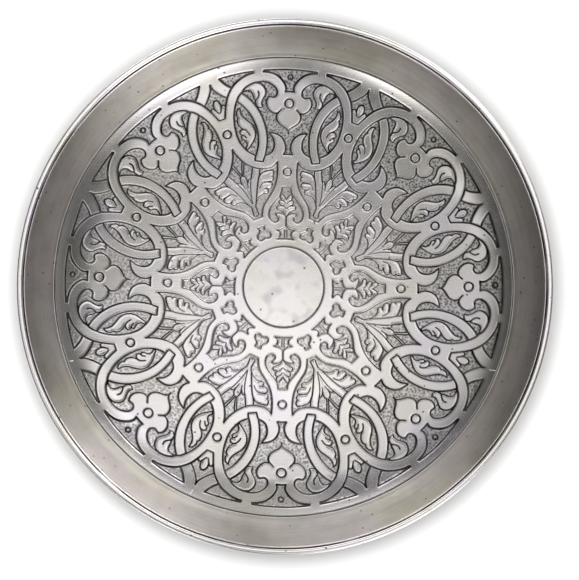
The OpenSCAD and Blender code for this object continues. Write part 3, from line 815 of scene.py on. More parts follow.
def near_box(points, line):
    return np.all((points > line.min(0) - NEAR) & (points < line.max(0) + NEAR), axis=1)


def way_to(points, line):
    """The way from each point to the nearest point of a line, far off if it isn't near."""
    best = np.full((len(points), 2), FAR)
    inside = near_box(points, line)
    p, way = points[inside], best[inside]
    least = (way * way).sum(1)
    for a, b in zip(line[:-1], line[1:]):
        along = b - a
        if along.any():
            share = np.clip((p - a) @ along / (along @ along), 0, 1)
            off = a + share[:, None] * along - p
            length = (off * off).sum(1)
            nearer = length < least
            least[nearer], way[nearer] = length[nearer], off[nearer]
    best[inside] = way
    return best


def distance(points, line):
    return np.linalg.norm(way_to(points, line), axis=1)


def signed_distance(points, line):
    """Distance to a closed line, positive inside it."""
    crossed = np.zeros(len(points), bool)
    inside = near_box(points, line)
    x, y = points[inside].T
    odd = np.zeros(len(x), bool)
    for (ax, ay), (bx, by) in zip(line[:-1], line[1:]):
        if ay != by:
            odd ^= ((ay > y) != (by > y)) & (x < (bx - ax) * (y - ay) / (by - ay) + ax)
    crossed[inside] = odd
    return np.where(crossed, 1, -1) * distance(points, line)


def step(low, high, value):
    t = np.clip((value - low) / (high - low), 0, 1)
    return t * t * (3 - 2 * t)


middle_of_first = np.array([[0, 24.5]])
print("from the middle of the first ground to its outline:",
      signed_distance(middle_of_first, ground_lines[0]).round(2), "mm")

# %% [markdown]
# ## Carving half a repeat
# The grid of half a repeat has rows outwards and columns round. The rows lie close together where the pattern
# is. A few wider ones carry the plain bands next to the roundel and the wall.

# %% Grid of the half repeat
COLUMNS, ROWS, PLAIN_ROWS, EDGE_ROWS, EDGE_BAND = 300, 320, 8, 4, 0.6
PATTERN_START, PATTERN_END = 21.0, 97.0
EYE_S = DISH_R * math.asin(EYE_R / DISH_R)
SHOULDER_S = DISH_R * math.radians(SHOULDER_SLOPE)
EDGE_S = SHOULDER_S + TURN_R * math.radians(EDGE_SLOPE - SHOULDER_SLOPE)

outwards = np.interp(np.arange(ROWS + 1),
                     [0, PLAIN_ROWS, ROWS - PLAIN_ROWS - EDGE_ROWS, ROWS - EDGE_ROWS, ROWS],
                     [EYE_S, PATTERN_START, PATTERN_END, EDGE_S - EDGE_BAND, EDGE_S])
aside = np.linspace(0, HALF_REPEAT, COLUMNS // 2 + 1)
grid = np.stack([np.outer(outwards, np.sin(aside)), np.outer(outwards, np.cos(aside))], -1).reshape(-1, 2)
print("grid:", grid.shape[0], "points")

# %% [markdown]
# A grid blurs a line that runs across it. So a grid point that lies close to an outline is first moved onto
# it, by less than half a cell. The grooves then follow the drawn curves and not the steps of the grid.

# %% Move grid points onto the outlines
SNAP = 0.42

wide = np.outer(outwards, np.full(len(aside), aside[1])).ravel()
tall = np.gradient(outwards).repeat(len(aside))
free = np.ones((ROWS + 1, len(aside)), bool)
free[:, [0, -1]] = free[:PLAIN_ROWS] = free[-PLAIN_ROWS:] = False
outside = grid / np.linalg.norm(grid, axis=1)[:, None]
shift = np.zeros_like(grid)
for line in leaf_lines + cut_lines + ground_lines:
    way = way_to(grid, line)
    out, across = (way * outside).sum(1), way[:, 0] * outside[:, 1] - way[:, 1] * outside[:, 0]
    close = free.ravel() & (np.abs(out) < SNAP * tall) & (np.abs(across) < SNAP * wide)
    shift[close] = way[close]
grid += shift
print("grid points moved onto outlines:", int(shift.any(1).sum()))

# %% [markdown]
# The carver's order is kept: sink the grounds, leave the leaves standing as low cushions, cut a groove along
# every outline, then cut the veins. The edges of the straps are eased a little, as polishing leaves them.

# %% Carve the half repeat
GROUND_DEPTH, LEAF_DEPTH, LEAF_CUSHION = 0.46, 0.10, 0.08
GROOVE_DEPTH, LEAF_GROOVE_DEPTH, VEIN_DEPTH, EASED_DEPTH = 0.28, 0.20, 0.16, 0.06
GROOVE_W, LEAF_GROOVE_W, VEIN_W, EASED_W = 0.22, 0.19, 0.17, 0.6
SEAM_DROP, EYE_DROP, DROP_W = 0.08, 0.10, 0.4


def dip(off, width):
    return np.exp(-(off / width) ** 2)


ground_d = np.max([signed_distance(grid, line) for line in ground_lines], axis=0)
leaf_d = np.max([signed_distance(grid, line) for line in leaf_lines], axis=0)
groove_d = np.min([np.abs(ground_d)] + [distance(grid, line) for line in cut_lines], axis=0)
vein_d = np.min([distance(grid, line) for line in vein_lines], axis=0)
reach = outwards.repeat(len(aside))

in_ground = step(0.0, 0.4, ground_d)
on_leaf = step(-0.1, 0.35, leaf_d) * in_ground
on_strap = 1 - step(-0.1, 0.3, ground_d)
depth = -GROUND_DEPTH * step(0.05, 0.55, ground_d) * (1 - on_leaf) - LEAF_DEPTH * on_leaf
depth += LEAF_CUSHION * step(0.3, 1.3, leaf_d) * on_leaf
depth -= GROOVE_DEPTH * dip(groove_d, GROOVE_W)
depth -= LEAF_GROOVE_DEPTH * dip(leaf_d, LEAF_GROOVE_W) * in_ground
depth -= VEIN_DEPTH * dip(vein_d, VEIN_W)
depth -= EASED_DEPTH * dip(groove_d, EASED_W) * on_strap
depth -= SEAM_DROP * step(EDGE_S - DROP_W, EDGE_S, reach) + EYE_DROP * step(EYE_S + DROP_W, EYE_S, reach)
print("carved half repeat: deepest", round(float(depth.min()), 2), "mm")

# %% [markdown]
# Dark polish stays in every line. On the real plate the lines are finer near the middle and broader further
# out, so the width of the dark line grows with the distance from the centre. The depth, the dark lines and
# the bare grounds are then kept as rows and columns.

# %% Dark lines of the half repeat
# Each line: distances from the centre between which the dark line grows wider, and by how much
LINE_GROWTH, LINE_START = ((42, 64, 0.19), (80, 92, 0.10)), -0.03
VEIN_GROWTH, VEIN_START = ((40, 64, 0.22), (80, 92, 0.12)), -0.12
SEAM_DARK, LEAF_SHARE = 0.6, 0.8


def grown(growth, start):
    return start + sum(more * step(low, high, reach) for low, high, more in growth)


wider, stroke = grown(LINE_GROWTH, LINE_START), grown(VEIN_GROWTH, VEIN_START)
dark_line = np.max([1 - step(0.10, 0.34, groove_d - wider),
                    in_ground * (1 - step(0.08, 0.30, np.abs(leaf_d) - LEAF_SHARE * wider)),
                    1 - step(0.12, 0.36, vein_d - stroke),
                    SEAM_DARK * step(EDGE_S - 0.35, EDGE_S - 0.1, reach),
                    step(EYE_S + 0.3, EYE_S + 0.05, reach)], axis=0)
bare_ground = step(0.15, 0.55, ground_d) * (1 - step(-0.4, 0.0, leaf_d))
half_depth, half_line, half_ground, half_s, half_aside = (
    values.reshape(ROWS + 1, len(aside))
    for values in (depth, dark_line, bare_ground, np.linalg.norm(grid, axis=1), np.arctan2(*grid.T)))
print("dark share of the half repeat:", round(float(half_line.mean()), 2))

# %% [markdown]
# ## Eight wedges of the plate
# The plate is one casting, but a mesh fine enough for the carving is large, so it is made as eight wedges
# that meet face to face. A flat wedge is modelled once: a fine grid for the carved face, a coarse grid below
# it for the back, and a bridge between their borders. Each copy is then wrapped on the dish.

# %% A flat wedge
COARSER = 10
THICK = 0.1


def get_places(mesh):
    places = np.empty(len(mesh.vertices) * 3, np.float32)
    mesh.vertices.foreach_get("co", places)
    return places.reshape(-1, 3).astype(float)


def set_places(mesh, places):
    mesh.vertices.foreach_set("co", (places * MM).astype(np.float32).ravel())
    mesh.update()


bpy.ops.object.select_all(action="DESELECT")
bpy.ops.mesh.primitive_grid_add(x_subdivisions=COLUMNS, y_subdivisions=ROWS, size=1, calc_uvs=False,
                                location=(0, 0, 0))
flat_wedge = bpy.context.object
flat_wedge.name = flat_wedge.data.name = "flat_wedge"
bpy.ops.object.mode_set(mode="EDIT")
bpy.ops.mesh.select_all(action="DESELECT")
bpy.ops.mesh.primitive_grid_add(x_subdivisions=COLUMNS // COARSER, y_subdivisions=ROWS // COARSER, size=1,
                                calc_uvs=False, location=(0, 0, -THICK))
bpy.ops.mesh.flip_normals()
bpy.ops.mesh.select_all(action="DESELECT")
bpy.ops.mesh.select_non_manifold(extend=False)
bpy.ops.mesh.bridge_edge_loops()
bpy.ops.mesh.select_all(action="SELECT")
bpy.ops.mesh.normals_make_consistent(inside=False)
bpy.ops.object.mode_set(mode="OBJECT")
flat = get_places(flat_wedge.data)
print("flat wedge:", len(flat), "points,", len(flat_wedge.data.polygons), "faces")

# %% [markdown]
# Each point of the flat wedge belongs to a row and a column. On the carved face they say where the point lies
# in the half repeat. On the back they say how far out it is. The plate is thinner where the wall's ledge
# carries it.

# %% Rows and columns of the wedge
LEDGE_INSIDE, LEDGE_PLAY = 0.06, 0.04
LEDGE_S = SHOULDER_S + TURN_R * math.radians(ledge_slope - SHOULDER_SLOPE)

column = np.rint((flat[:, 0] + 0.5) * COLUMNS).astype(int)
row = np.rint((flat[:, 1] + 0.5) * ROWS).astype(int)
carved = flat[:, 2] > -THICK / 2
from_middle = np.abs(column - COLUMNS // 2)
side = np.sign(column - COLUMNS // 2)
back_s = np.interp(row, [0, ROWS - 2 * COARSER, ROWS - COARSER, ROWS],
                   [EYE_S, LEDGE_S - LEDGE_INSIDE, LEDGE_S - LEDGE_PLAY, EDGE_S])
back_t = np.where(row < ROWS - COARSER, DISC_T, DISC_EDGE_T)
s = np.where(carved, half_s[row, from_middle], back_s)
in_repeat = np.where(carved, half_aside[row, from_middle], aside[from_middle]) * side
print(int(carved.sum()), "points on the carved face,", int((~carved).sum()), "on the back")

# %% [markdown]
# Wrapping works row by row. A row's distance from the centre is measured along the dish, first on its
# shallow curve and then on the tighter turn near the wall.

# %% Helpers for the dish


def on_dish(s):
    """Plan radius, height and slope at a distance s from the centre along the dish."""
    shallow = s < SHOULDER_S
    slope = np.where(shallow, s / DISH_R, math.radians(SHOULDER_SLOPE) + (s - SHOULDER_S) / TURN_R)
    radius = np.where(shallow, DISH_R * np.sin(slope), turn_centre[0] + TURN_R * np.sin(slope))
    height = np.where(shallow, dish_centre[1] - DISH_R * np.cos(slope),
                      turn_centre[1] - TURN_R * np.cos(slope))
    return radius, height, slope


def along_dish(radius):
    """Distance from the centre along the dish at a plan radius."""
    turned = math.radians(SHOULDER_SLOPE)
    shallow = DISH_R * np.arcsin(np.minimum(radius, SHOULDER_R) / DISH_R)
    past = np.maximum(np.arcsin(np.clip((radius - turn_centre[0]) / TURN_R, -1, 1)) - turned, 0)
    return shallow + TURN_R * past


print("the dish is", round(2 * EDGE_S, 1), "mm across along its curve and", 2 * DISC_R, "mm straight across")

# %% [markdown]
# The pattern on the real plate isn't spaced evenly: it drifts a little round the plate, and its lines waver
# by a hair. The grounds are punched all over with a fine rounded punch, so each gets small pits at scattered
# places. Dark polish in the lines has worn unevenly.

# %% Helpers for handwork
DRIFT, DRIFT_ACROSS, DRIFT_UP, DRIFT_AT = 1.37, -1.91, -0.165, 81.4
PUNCH_STEP, PUNCH_R, PUNCH_DEPTH, LIGHTEST_PUNCH = 1.1, 0.42, 0.09, 0.45
WAVER, WAVER_SIZE = 0.12, 9.0


def drifted(angle, s):
    """The drawing's angle, clockwise from the right, as it lies on the plate."""
    return angle + np.radians(DRIFT + DRIFT_ACROSS * s / DRIFT_AT * np.cos(angle) + DRIFT_UP * np.sin(angle))


def waver(x, y, which):
    return WAVER * (np.sin(x / WAVER_SIZE + 1.7 * which + 0.6 * np.sin(y / 5.3))
                    + 0.6 * np.sin(y / (0.6 * WAVER_SIZE) + 2.9 * which + x / 13.0))


def scatter(i, j, which):
    """A number from 0 to 1 that depends only on whole numbers."""
    return np.modf(np.abs(np.sin(i * 127.1 + j * 311.7 + which * 74.7) * 43758.5453))[0]


def punched(x, y):
    """How deep the punch marks are at a place, from 0 to 1. Each mark is struck with its own force."""
    i0, j0 = np.floor(x / PUNCH_STEP), np.floor(y / PUNCH_STEP)
    deep = np.zeros_like(x)
    for di in (-1, 0, 1):
        for dj in (-1, 0, 1):
            i, j = i0 + di, j0 + dj
            px = (i + scatter(i, j, 1)) * PUNCH_STEP
            py = (j + scatter(i, j, 2)) * PUNCH_STEP
            force = LIGHTEST_PUNCH + (1 - LIGHTEST_PUNCH) * scatter(i, j, 3)
            deep = np.maximum(deep, force * np.exp(-((x - px) ** 2 + (y - py) ** 2) / PUNCH_R ** 2))
    return deep


def worn(x, y):
    """How much of the dark polish is left in the lines, uneven from place to place."""
    return 0.93 + 0.07 * np.sin(x / 3.1 + 2.2 * np.sin(y / 2.3)) * np.sin(y / 2.7 + 1.9 * np.sin(x / 3.7))


print("the pattern drifts by", DRIFT, "degrees and wavers by", WAVER, "mm")

# %% [markdown]
# The finish may later be baked to a picture, so each wedge has a flat map of its own. An automatic unwrap
# breaks a carved face into scraps, so the map is made by rule: the face as seen from above, the back much
# smaller in the lower left corner, and the four sides as strips in the lower right corner.

# %% Flat map of a wedge
MAP_W, MAP_START = 86.0, 16.0
BACK_AT, BACK_SCALE = 0.005, 0.2
STRIP_X, STRIP_LONG, STRIP_Y, STRIP_STEP, STRIP_W = 0.72, 0.26, 0.01, 0.06, 0.05

corner = np.empty(len(flat_wedge.data.loops), np.int32)
flat_wedge.data.loops.foreach_get("vertex_index", corner)
first, total = np.empty((2, len(flat_wedge.data.polygons)), np.int32)
flat_wedge.data.polygons.foreach_get("loop_start", first)
flat_wedge.data.polygons.foreach_get("loop_total", total)


def over_face(pick, values):
    """The least or the greatest value of a face, at each of its corners."""
    return np.repeat(pick.reduceat(values[corner], first), total)


on_face, on_back = over_face(np.minimum, carved), ~over_face(np.maximum, carved)
side_number = np.select([over_face(np.maximum, column) == 0, over_face(np.minimum, column) == COLUMNS,
                         over_face(np.maximum, row) == 0], [0, 1, 2], 3)
along_side = np.where(side_number < 2, row[corner] / ROWS, column[corner] / COLUMNS)
side_map = np.stack([STRIP_X + STRIP_LONG * along_side,
                     STRIP_Y + STRIP_STEP * side_number + STRIP_W * carved[corner]], -1)


def flat_map(x, y, middle):
    """Places on the map, for a wedge whose middle line lies at that angle."""
    out, across = x * math.cos(middle) + y * math.sin(middle), y * math.cos(middle) - x * math.sin(middle)
    seen = np.stack([0.5 + across / MAP_W, (out - MAP_START) / MAP_W], -1)[corner]
    small = BACK_AT + BACK_SCALE * seen
    return np.where(on_face[:, None], seen, np.where(on_back[:, None], small, side_map))


print("map of a wedge:", int(on_face.sum()), "corners on the face,", int(on_back.sum()), "on the back")

# %% [markdown]
# Now the eight copies are wrapped. The whole pattern sits a little off the centre and is stretched by less
# than one part in a hundred, while the borders at the roundel and the wall stay in place. Cleaning has rubbed
# the middle brighter. Shade is painted into the grounds and their pits, darker towards the upper right.

# %% Wrap the wedges
OFF_X, OFF_Y, STRETCH, SKEW, CALM_EYE, CALM_EDGE = 0.15, -0.55, 0.0045, -0.0018, 3.5, 5
# Dark polish in the pits, the painted shade added to pits and grounds towards the upper right, and its reach
PIT_CLEAN, PIT_PAINTED_SHADE, GROUND_PAINTED_SHADE, PAINTED_SHADE_REACH = 0.75, 1.0, 0.16, 85.0
RUBBED_S, DULL_S, RUBBED_SHARE = 44.0, 62.0, 0.55
WEDGE_SMOOTH = math.radians(60)


def carved_patina(tree):
    """The dark share that each point of the carving keeps."""
    made = tree.nodes.new("ShaderNodeAttribute")
    made.attribute_name = "patina"
    return made.outputs["Fac"]


carved_pewter = pewter("carved_pewter", 0.26, carved_patina, scratches_mm=0.008, size=26.0)
depth_here, line_here, ground_here = (half[row, from_middle] for half in (half_depth, half_line, half_ground))
calm = np.where(carved, step(EYE_S, EYE_S + CALM_EYE, s) * step(EDGE_S, EDGE_S - CALM_EDGE, s), 0)
rubbed = RUBBED_SHARE + (1 - RUBBED_SHARE) * step(RUBBED_S, DULL_S, s)
plan_radius, _, _ = on_dish(s)
for number in range(REPEATS):
    wedge = flat_wedge.copy()
    wedge.data = flat_wedge.data.copy()
    wedge.name = wedge.data.name = f"relief_wedge_{number + 1}"
    bpy.context.scene.collection.objects.link(wedge)
    angle = -drifted(number * 2 * HALF_REPEAT + in_repeat, s)
    x, y = plan_radius * np.cos(angle), plan_radius * np.sin(angle)
    x, y = (x + calm * (OFF_X + STRETCH * x + SKEW * y + waver(x, y, 1)),
            y + calm * (OFF_Y + SKEW * x + STRETCH * y + waver(x, y, 2)))
    radius = np.hypot(x, y)
    _, height, slope = on_dish(along_dish(radius))
    pit = punched(x, y) * ground_here
    lift = np.where(carved, depth_here - PUNCH_DEPTH * rubbed * pit, -back_t)
    out = 1 - lift * np.sin(slope) / radius
    set_places(wedge.data, np.stack([x * out, y * out, height + lift * np.cos(slope)], -1))
    # Painted shade: pits and grounds are made darker from the lower left to the upper right, where less light
    # falls
    painted_shade_side = step(-PAINTED_SHADE_REACH, PAINTED_SHADE_REACH, (x + y) * math.sqrt(0.5))
    pit_patina_and_painted_shade = (PIT_CLEAN + (PIT_PAINTED_SHADE - PIT_CLEAN) * painted_shade_side) * pit + GROUND_PAINTED_SHADE * painted_shade_side * ground_here
    dark = np.maximum(line_here * worn(x, y), np.minimum(rubbed * pit_patina_and_painted_shade, 1))
    dark = np.where(carved, dark, 0)
    wedge.data.attributes.new("patina", "FLOAT", "POINT").data.foreach_set("value", dark.astype(np.float32))
    bake_map = wedge.data.uv_layers.new(name="OFBake")
    middle = -float(drifted(number * 2 * HALF_REPEAT, DRIFT_AT / 2))
    bake_map.data.foreach_set("uv", flat_map(x, y, middle).astype(np.float32).ravel())
    wedge.data.materials.append(carved_pewter)
    pick_only(wedge)
    bpy.ops.object.shade_smooth_by_angle(angle=WEDGE_SMOOTH)
    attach(wedge, "root")
    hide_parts("relief_disc")
bpy.data.objects.remove(flat_wedge)
print(REPEATS, "wedges wrapped")

# %% [markdown]
# Under the roundel the plate goes on as a thin web with a hole for the boss. It has no carving, so it comes
# off the lathe like the turned pieces.

# %% Web in the plate's eye
BOSS_HOLE_R = BOSS_R + 0.1
FAINT_SCALE, FAINT = 260.0, 0.25


def faint_patina(tree):
    """Thin dark patches on metal that is never polished."""
    patches = between(tree, noise(tree, object_place(tree), FAINT_SCALE, 3.0), 0.62, 0.8)
    return math_node(tree, "MULTIPLY", patches, FAINT)


web_line = dish_line(EYE_DEPTH, BOSS_HOLE_R, EYE_R, 6) + dish_line(DISC_T, EYE_R, BOSS_HOLE_R, 6)
eye_web = turn_on_lathe("relief_eye_web", web_line, steps=96)
eye_web.data.materials.append(pewter("web_pewter", 0.42, faint_patina))

# %% [markdown]
# ## The pedestal
# The picture doesn't show what the bowl stands on, so the pedestal is plain. It is a stack of turned pieces:
# a collar, a stem, a knop, a neck and a foot with a beaded ring. Each has a short spigot that centres it in
# the socket of the next one. Two curves are enough for all of them: a waist and a trumpet.

# %% Collar and stem
COLLAR_R, COLLAR_EDGE_T, COLLAR_LIP, COLLAR_FOOT_R, COLLAR_H = 32.0, 1.8, 1.8, 16.0, 8.0
KNOP_LOW, KNOP_HIGH, STEM_END_R, STEM_WAIST_R = 31.0, 42.0, 14, 10
HOLE_R, SPIGOT_R, SPIGOT_H, BOSS_PLAY = 3.3, 8.0, 2.5, 0.2
SOCKET_R, SOCKET_H = SPIGOT_R + 0.1, SPIGOT_H + 0.2
EASED = 0.25


def waisted(low_z, low_r, high_z, high_r, waist, steps=28):
    line = []
    for k in np.linspace(0, 1, steps + 1):
        end_r = low_r + (high_r - low_r) * k
        line.append((waist + (end_r - waist) * (2 * k - 1) ** 2, low_z + (high_z - low_z) * k))
    return line


def trumpet(top_r, top_z, edge_r, edge_z, steps=40):
    return [(top_r + (edge_r - top_r) * (1 - cos_d(a)), top_z - (top_z - edge_z) * sin_d(a))
            for a in np.linspace(0, 90, steps + 1)]


def spigoted(outside):
    """A piece with a spigot at each end and a hole through it."""
    low, high = outside[0][1], outside[-1][1]
    return ([(HOLE_R, low - SPIGOT_H), (SPIGOT_R, low - SPIGOT_H), (SPIGOT_R, low)] + outside
            + [(SPIGOT_R, high), (SPIGOT_R, high + SPIGOT_H), (HOLE_R, high + SPIGOT_H)])


collar_low_z = disc_low_z - COLLAR_H
socket_z, boss_z = collar_low_z + SOCKET_H, boss_low_z - BOSS_PLAY
collar_line = dish_line(DISC_T, BOSS_HOLE_R, COLLAR_R, 12)
collar_edge_z = collar_line[-1][1] - COLLAR_EDGE_T
collar_line.append((COLLAR_R, collar_edge_z))
collar_line += trumpet(COLLAR_FOOT_R, collar_low_z, COLLAR_R - COLLAR_LIP, collar_edge_z)[::-1]
collar_line += [(SOCKET_R, collar_low_z), (SOCKET_R, socket_z), (HOLE_R, socket_z),
                (HOLE_R, boss_z), (BOSS_HOLE_R, boss_z)]
collar = turn_on_lathe("bowl_collar_turned", collar_line, edge=EASED)
stem_line = spigoted(waisted(KNOP_HIGH, STEM_END_R, collar_low_z, STEM_END_R, STEM_WAIST_R))
stem = turn_on_lathe("upper_stem_turned", stem_line, edge=EASED)

# %% [markdown]
# The knop is the part that a hand takes hold of. It is half a wave in outline, with a socket at each end. The
# neck below it is another waist, wider at its foot.

# %% Knop and neck
KNOP_R, KNOP_END_R, FOOT_TOP_Z, FOOT_TOP_R, NECK_WAIST_R = 19.5, 13.0, 24.0, 17.0, 11

knop_line = [(HOLE_R, KNOP_LOW + SOCKET_H), (SOCKET_R, KNOP_LOW + SOCKET_H), (SOCKET_R, KNOP_LOW)]
for a in np.linspace(0, 180, 49):
    knop_line.append((KNOP_END_R + (KNOP_R - KNOP_END_R) * sin_d(a),
                      KNOP_LOW + (KNOP_HIGH - KNOP_LOW) * (1 - cos_d(a)) / 2))
knop_line += [(SOCKET_R, KNOP_HIGH), (SOCKET_R, KNOP_HIGH - SOCKET_H), (HOLE_R, KNOP_HIGH - SOCKET_H)]
knop = turn_on_lathe("knop_turned", knop_line, edge=EASED)
neck_line = spigoted(waisted(FOOT_TOP_Z, FOOT_TOP_R, KNOP_LOW, KNOP_END_R, NECK_WAIST_R))
neck = turn_on_lathe("lower_stem_turned", neck_line, edge=EASED)

# %% [markdown]
# The foot is a hollow trumpet, spun from sheet in the old way or cast thin and turned. A ring with a bead
# stiffens its edge and is what the bowl stands on. A small cover moulding hides the joint.

# %% Foot and its ring
FOOT_EDGE_R, FOOT_EDGE_Z, FOOT_T, PLATE_T = 54.0, 7.0, 2.4, 5.0
RING_IN_R, RING_LEDGE_Z, RING_STEP_R, BASE_BEAD_R, RING_OUT_R = 51.5, 4.6, 58.4, 2.4, 62.0
plate_low_z = FOOT_TOP_Z - PLATE_T

foot_line = trumpet(FOOT_TOP_R, FOOT_TOP_Z, FOOT_EDGE_R, FOOT_EDGE_Z) + [(FOOT_EDGE_R, RING_LEDGE_Z)]
foot_line += trumpet(FOOT_TOP_R - FOOT_T, plate_low_z, RING_IN_R, RING_LEDGE_Z)[::-1]
foot_line += [(HOLE_R, plate_low_z), (HOLE_R, FOOT_TOP_Z - SOCKET_H), (SOCKET_R, FOOT_TOP_Z - SOCKET_H),
              (SOCKET_R, FOOT_TOP_Z)]
foot = turn_on_lathe("foot_turned", foot_line, edge=EASED)

bead_centre_low = (RING_OUT_R - BASE_BEAD_R, BASE_BEAD_R)
bead_stop = 180 + math.degrees(math.acos((RING_LEDGE_Z - BASE_BEAD_R) / BASE_BEAD_R))
ring_line = [(RING_IN_R, 0)] + arc(bead_centre_low, BASE_BEAD_R, 0, bead_stop, 28)
ring_line += [(FOOT_EDGE_R + (RING_STEP_R - FOOT_EDGE_R) * cos_d(a),
               RING_LEDGE_Z + (FOOT_EDGE_Z - RING_LEDGE_Z) * sin_d(a)) for a in np.linspace(0, 90, 17)]
ring_line += [(FOOT_EDGE_R, RING_LEDGE_Z), (RING_IN_R, RING_LEDGE_Z)]
foot_rim = turn_on_lathe("foot_rim_turned", ring_line, edge=EASED)

# %% [markdown]
# All the turned pieces share one finish. Dark polish gathers where two of them meet.

# %% Finish of the pedestal
JOINT_DARK_W, JOINT_FULL_W = 0.3, 0.08


def joint_patina(tree):
    height = add(tree, "ShaderNodeSeparateXYZ", Vector=object_place(tree)).outputs[2]
    dark = faint_patina(tree)
    for joint in (collar_low_z, KNOP_HIGH, KNOP_LOW, FOOT_TOP_Z):
        off = math_node(tree, "ABSOLUTE", math_node(tree, "SUBTRACT", height, joint * MM))
        dark = math_node(tree, "MAXIMUM", dark, between(tree, off, JOINT_DARK_W * MM, JOINT_FULL_W * MM))
    return dark


turned_pewter = pewter("turned_pewter", 0.33, joint_patina, rings_mm=0.010, scratches_mm=0.004, size=34.0)
for piece in (collar, stem, knop, neck, foot, foot_rim):
    piece.data.materials.append(turned_pewter)

# %% [markdown]
# ## The fixings under the foot
# A threaded stud runs from the roundel's boss down the middle of the pedestal. A plate washer, a spring
# washer and a nut in the hollow foot pull the whole stack together. The thread is a turned rod whose points
# are moved in by a triangle wave that climbs one pitch each turn. A Screw modifier would leave open ends.

# %% Stud
PITCH, THREAD_DEPTH, STUD_TAIL, NUT_H, SPRING_T, WASHER_T = 1.0, 0.5, 1.5, 5.0, 1.6, 2.0
STUD_PLAY, STUD_CHAMFER, STUD_STEPS, PITCH_ROWS = 0.02, 0.7, 48, 8
ABOVE_PLATE, BELOW_TOP, RUN_OUT, CORE_R, WHOLE_TURNS = 4, 5, 0.5, 0.1, 10
nut_low_z = plate_low_z - WASHER_T - SPRING_T - NUT_H
stud_low_z = nut_low_z - STUD_TAIL
threaded_low, threaded_high = plate_low_z + ABOVE_PLATE, stud_top_z - BELOW_TOP

heights = np.concatenate([np.arange(stud_low_z, threaded_low, PITCH / PITCH_ROWS),
                          np.arange(threaded_high, stud_top_z, PITCH / PITCH_ROWS), [stud_top_z]])
stud_line = [(0, stud_low_z)] + [(STUD_D / 2 - STUD_PLAY, z) for z in heights] + [(0, stud_top_z)]
stud = turn_on_lathe("tie_stud_threaded", stud_line, steps=STUD_STEPS, closed=False)
x, y, z = get_places(stud.data).T / MM
climb = np.abs(np.modf(z / PITCH - np.arctan2(y, x) / (2 * math.pi) + WHOLE_TURNS)[0] * 2 - 1)
plain = (step(threaded_low - 2 * RUN_OUT, threaded_low - RUN_OUT, z)
         * step(threaded_high + 2 * RUN_OUT, threaded_high + RUN_OUT, z))
end = np.minimum(z - stud_low_z, stud_top_z - z)
cut = np.maximum(THREAD_DEPTH * climb * (1 - plain), np.clip(STUD_CHAMFER - end, 0, STUD_CHAMFER))
radius = np.hypot(x, y)
share = np.where(radius > CORE_R, 1 - cut / np.maximum(radius, CORE_R), 1)
set_places(stud.data, np.stack([x * share, y * share, z], -1))

# %% [markdown]
# The plate washer is a pressed ring. The spring washer is a square wire coiled round once and cut, so its
# outline is spun a little less than a full turn and both ends are filled.

# %% Plate washer and spring washer
WASHER_R, SPRING_R, SPRING_IN_R, SPLIT = 11.0, 5.9, HOLE_R, 1.2
washer_low_z, spring_low_z = plate_low_z - WASHER_T, plate_low_z - WASHER_T - SPRING_T


def ring_section(inside_r, outside_r, low, high):
    return [(inside_r, low), (outside_r, low), (outside_r, high), (inside_r, high)]


washer_line = ring_section(HOLE_R, WASHER_R, washer_low_z, plate_low_z)
plate_washer = turn_on_lathe("pressure_washer_pressed", washer_line, edge=0.3, steps=96)

half_split = math.asin(SPLIT / (SPRING_R + SPRING_IN_R))
spring_line = ring_section(SPRING_IN_R, SPRING_R, spring_low_z, washer_low_z)
spring_washer = start_piece("spring_washer_coiled")
bpy.ops.object.mode_set(mode="EDIT")
draw_line(spring_line + spring_line[:1])
bpy.ops.mesh.select_all(action="SELECT")
bpy.ops.transform.rotate(value=half_split, orient_axis="Z", center_override=(0, 0, 0))
bpy.ops.mesh.spin(steps=80, angle=2 * math.pi - 2 * half_split, center=(0, 0, 0), axis=(0, 0, 1))
merge_doubles()
bpy.ops.mesh.fill_holes(sides=0)
bpy.ops.mesh.select_all(action="SELECT")
bpy.ops.mesh.normals_make_consistent(inside=False)
bpy.ops.object.mode_set(mode="OBJECT")
round_edges(spring_washer, 0.15, 2)
bpy.ops.object.shade_smooth_by_angle(angle=SMOOTH_ANGLE)
spread = [math.degrees(math.atan2(v.co.y, v.co.x)) for v in spring_washer.data.vertices]
print("spring washer from", round(min(a for a in spread if a > 0), 1), "degrees")

# %% [markdown]
# A nut is a hexagon bar, drilled and then chamfered on the lathe. The modifiers follow that order: the
# six-sided bar is cut to a turned blank, which rounds its corners, and a drill with countersinks is taken
# out.

# %% Nut
NUT_AF, NUT_SMOOTH = 10.0, math.radians(20)
nut_high_z = nut_low_z + NUT_H


def nut_tool(name, end_r, body_r, inset, over, steps):
    """A turned tool with a cone at each end, a little longer than the nut."""
    low, high = nut_low_z - over, nut_high_z + over
    line = [(0, low), (end_r, low), (body_r, nut_low_z + inset)]
    line += [(body_r, nut_high_z - inset), (end_r, high), (0, high)]
    return turn_on_lathe(name, line, steps=steps, closed=False)


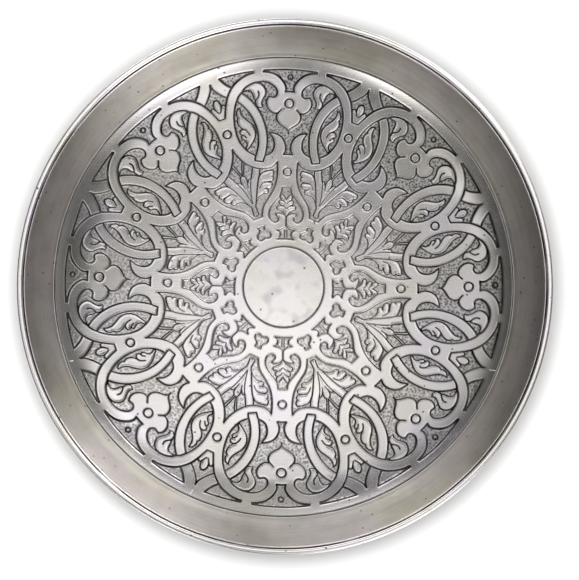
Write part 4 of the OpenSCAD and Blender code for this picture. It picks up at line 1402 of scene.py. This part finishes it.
bpy.ops.object.select_all(action="DESELECT")
bpy.ops.mesh.primitive_cylinder_add(vertices=6, radius=NUT_AF / math.sqrt(3) * MM, depth=NUT_H * MM,
                                    location=(0, 0, 0))
nut = bpy.context.object
nut.name = nut.data.name = "tie_nut_chamfered"
bpy.ops.object.mode_set(mode="EDIT")
bpy.ops.mesh.select_all(action="SELECT")
bpy.ops.transform.rotate(value=math.radians(30), orient_axis="Z", center_override=(0, 0, 0))
bpy.ops.transform.translate(value=(0, 0, (nut_low_z + NUT_H / 2) * MM))
bpy.ops.object.mode_set(mode="OBJECT")
blank = nut_tool("nut_blank", end_r=4.23, body_r=6.0, inset=0.72, over=0.3, steps=96)
drill = nut_tool("nut_drill", end_r=3.9, body_r=2.98, inset=0.4, over=1, steps=48)
apply_modifier(nut, "BOOLEAN", operation="INTERSECT", object=blank, solver="EXACT")
apply_modifier(nut, "BOOLEAN", operation="DIFFERENCE", object=drill, solver="EXACT")
bpy.ops.object.shade_smooth_by_angle(angle=NUT_SMOOTH)
bpy.data.objects.remove(blank)
bpy.data.objects.remove(drill)
print("nut:", len(nut.data.polygons), "faces")

# %% [markdown]
# The fixings are steel with a thin zinc plating. Its crystals show as small grey patches, and the roughness
# differs from patch to patch.

# %% Plated steel
ZINC_DARK, ZINC_LIGHT, CRYSTAL_SCALE = (0.44, 0.45, 0.46), (0.62, 0.63, 0.65), 900.0

plated = new_material("plated_steel")
tree = plated.node_tree
crystals = noise(tree, object_place(tree), CRYSTAL_SCALE, 3.0, 0.6)
metal = add(tree, "ShaderNodeBsdfPrincipled", Metallic=1.0,
            Base_Color=ramp(tree, crystals, [(0.35, ZINC_DARK), (0.65, ZINC_LIGHT)]),
            Roughness=math_node(tree, "MULTIPLY_ADD", crystals, 0.22, 0.24))
add(tree, "ShaderNodeOutputMaterial", Surface=metal.outputs[0])
for piece in (stud, plate_washer, spring_washer, nut):
    piece.data.materials.append(plated)
print("finish:", plated.name)

# %% [markdown]
# Every piece rides on the one body of the model, since nothing moves. Each takes the place of an imported
# part.

# %% Place the pieces
PLACES = [
    (bowl_wall, "bowl_wall", "pewter_wall"), (rim_bead, "rim_bead", "pewter_polished"),
    (roundel, "centre_roundel", "pewter_polished"), (eye_web, "relief_disc", "pewter_relief"),
    (collar, "bowl_collar", "pewter_turned"), (stem, "upper_stem", "pewter_turned"),
    (knop, "knop", "pewter_turned"), (neck, "lower_stem", "pewter_turned"), (foot, "foot", "pewter_turned"),
    (foot_rim, "foot_rim", "pewter_turned"), (stud, "tie_stud", "plated_steel"),
    (plate_washer, "pressure_washer", "plated_steel"), (spring_washer, "spring_washer", "plated_steel"),
    (nut, "tie_nut", "plated_steel"),
]
for piece, node, slot in PLACES:
    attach(piece, "root")
    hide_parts(node)
print(len(PLACES), "turned and fixing pieces placed beside the", REPEATS, "wedges")
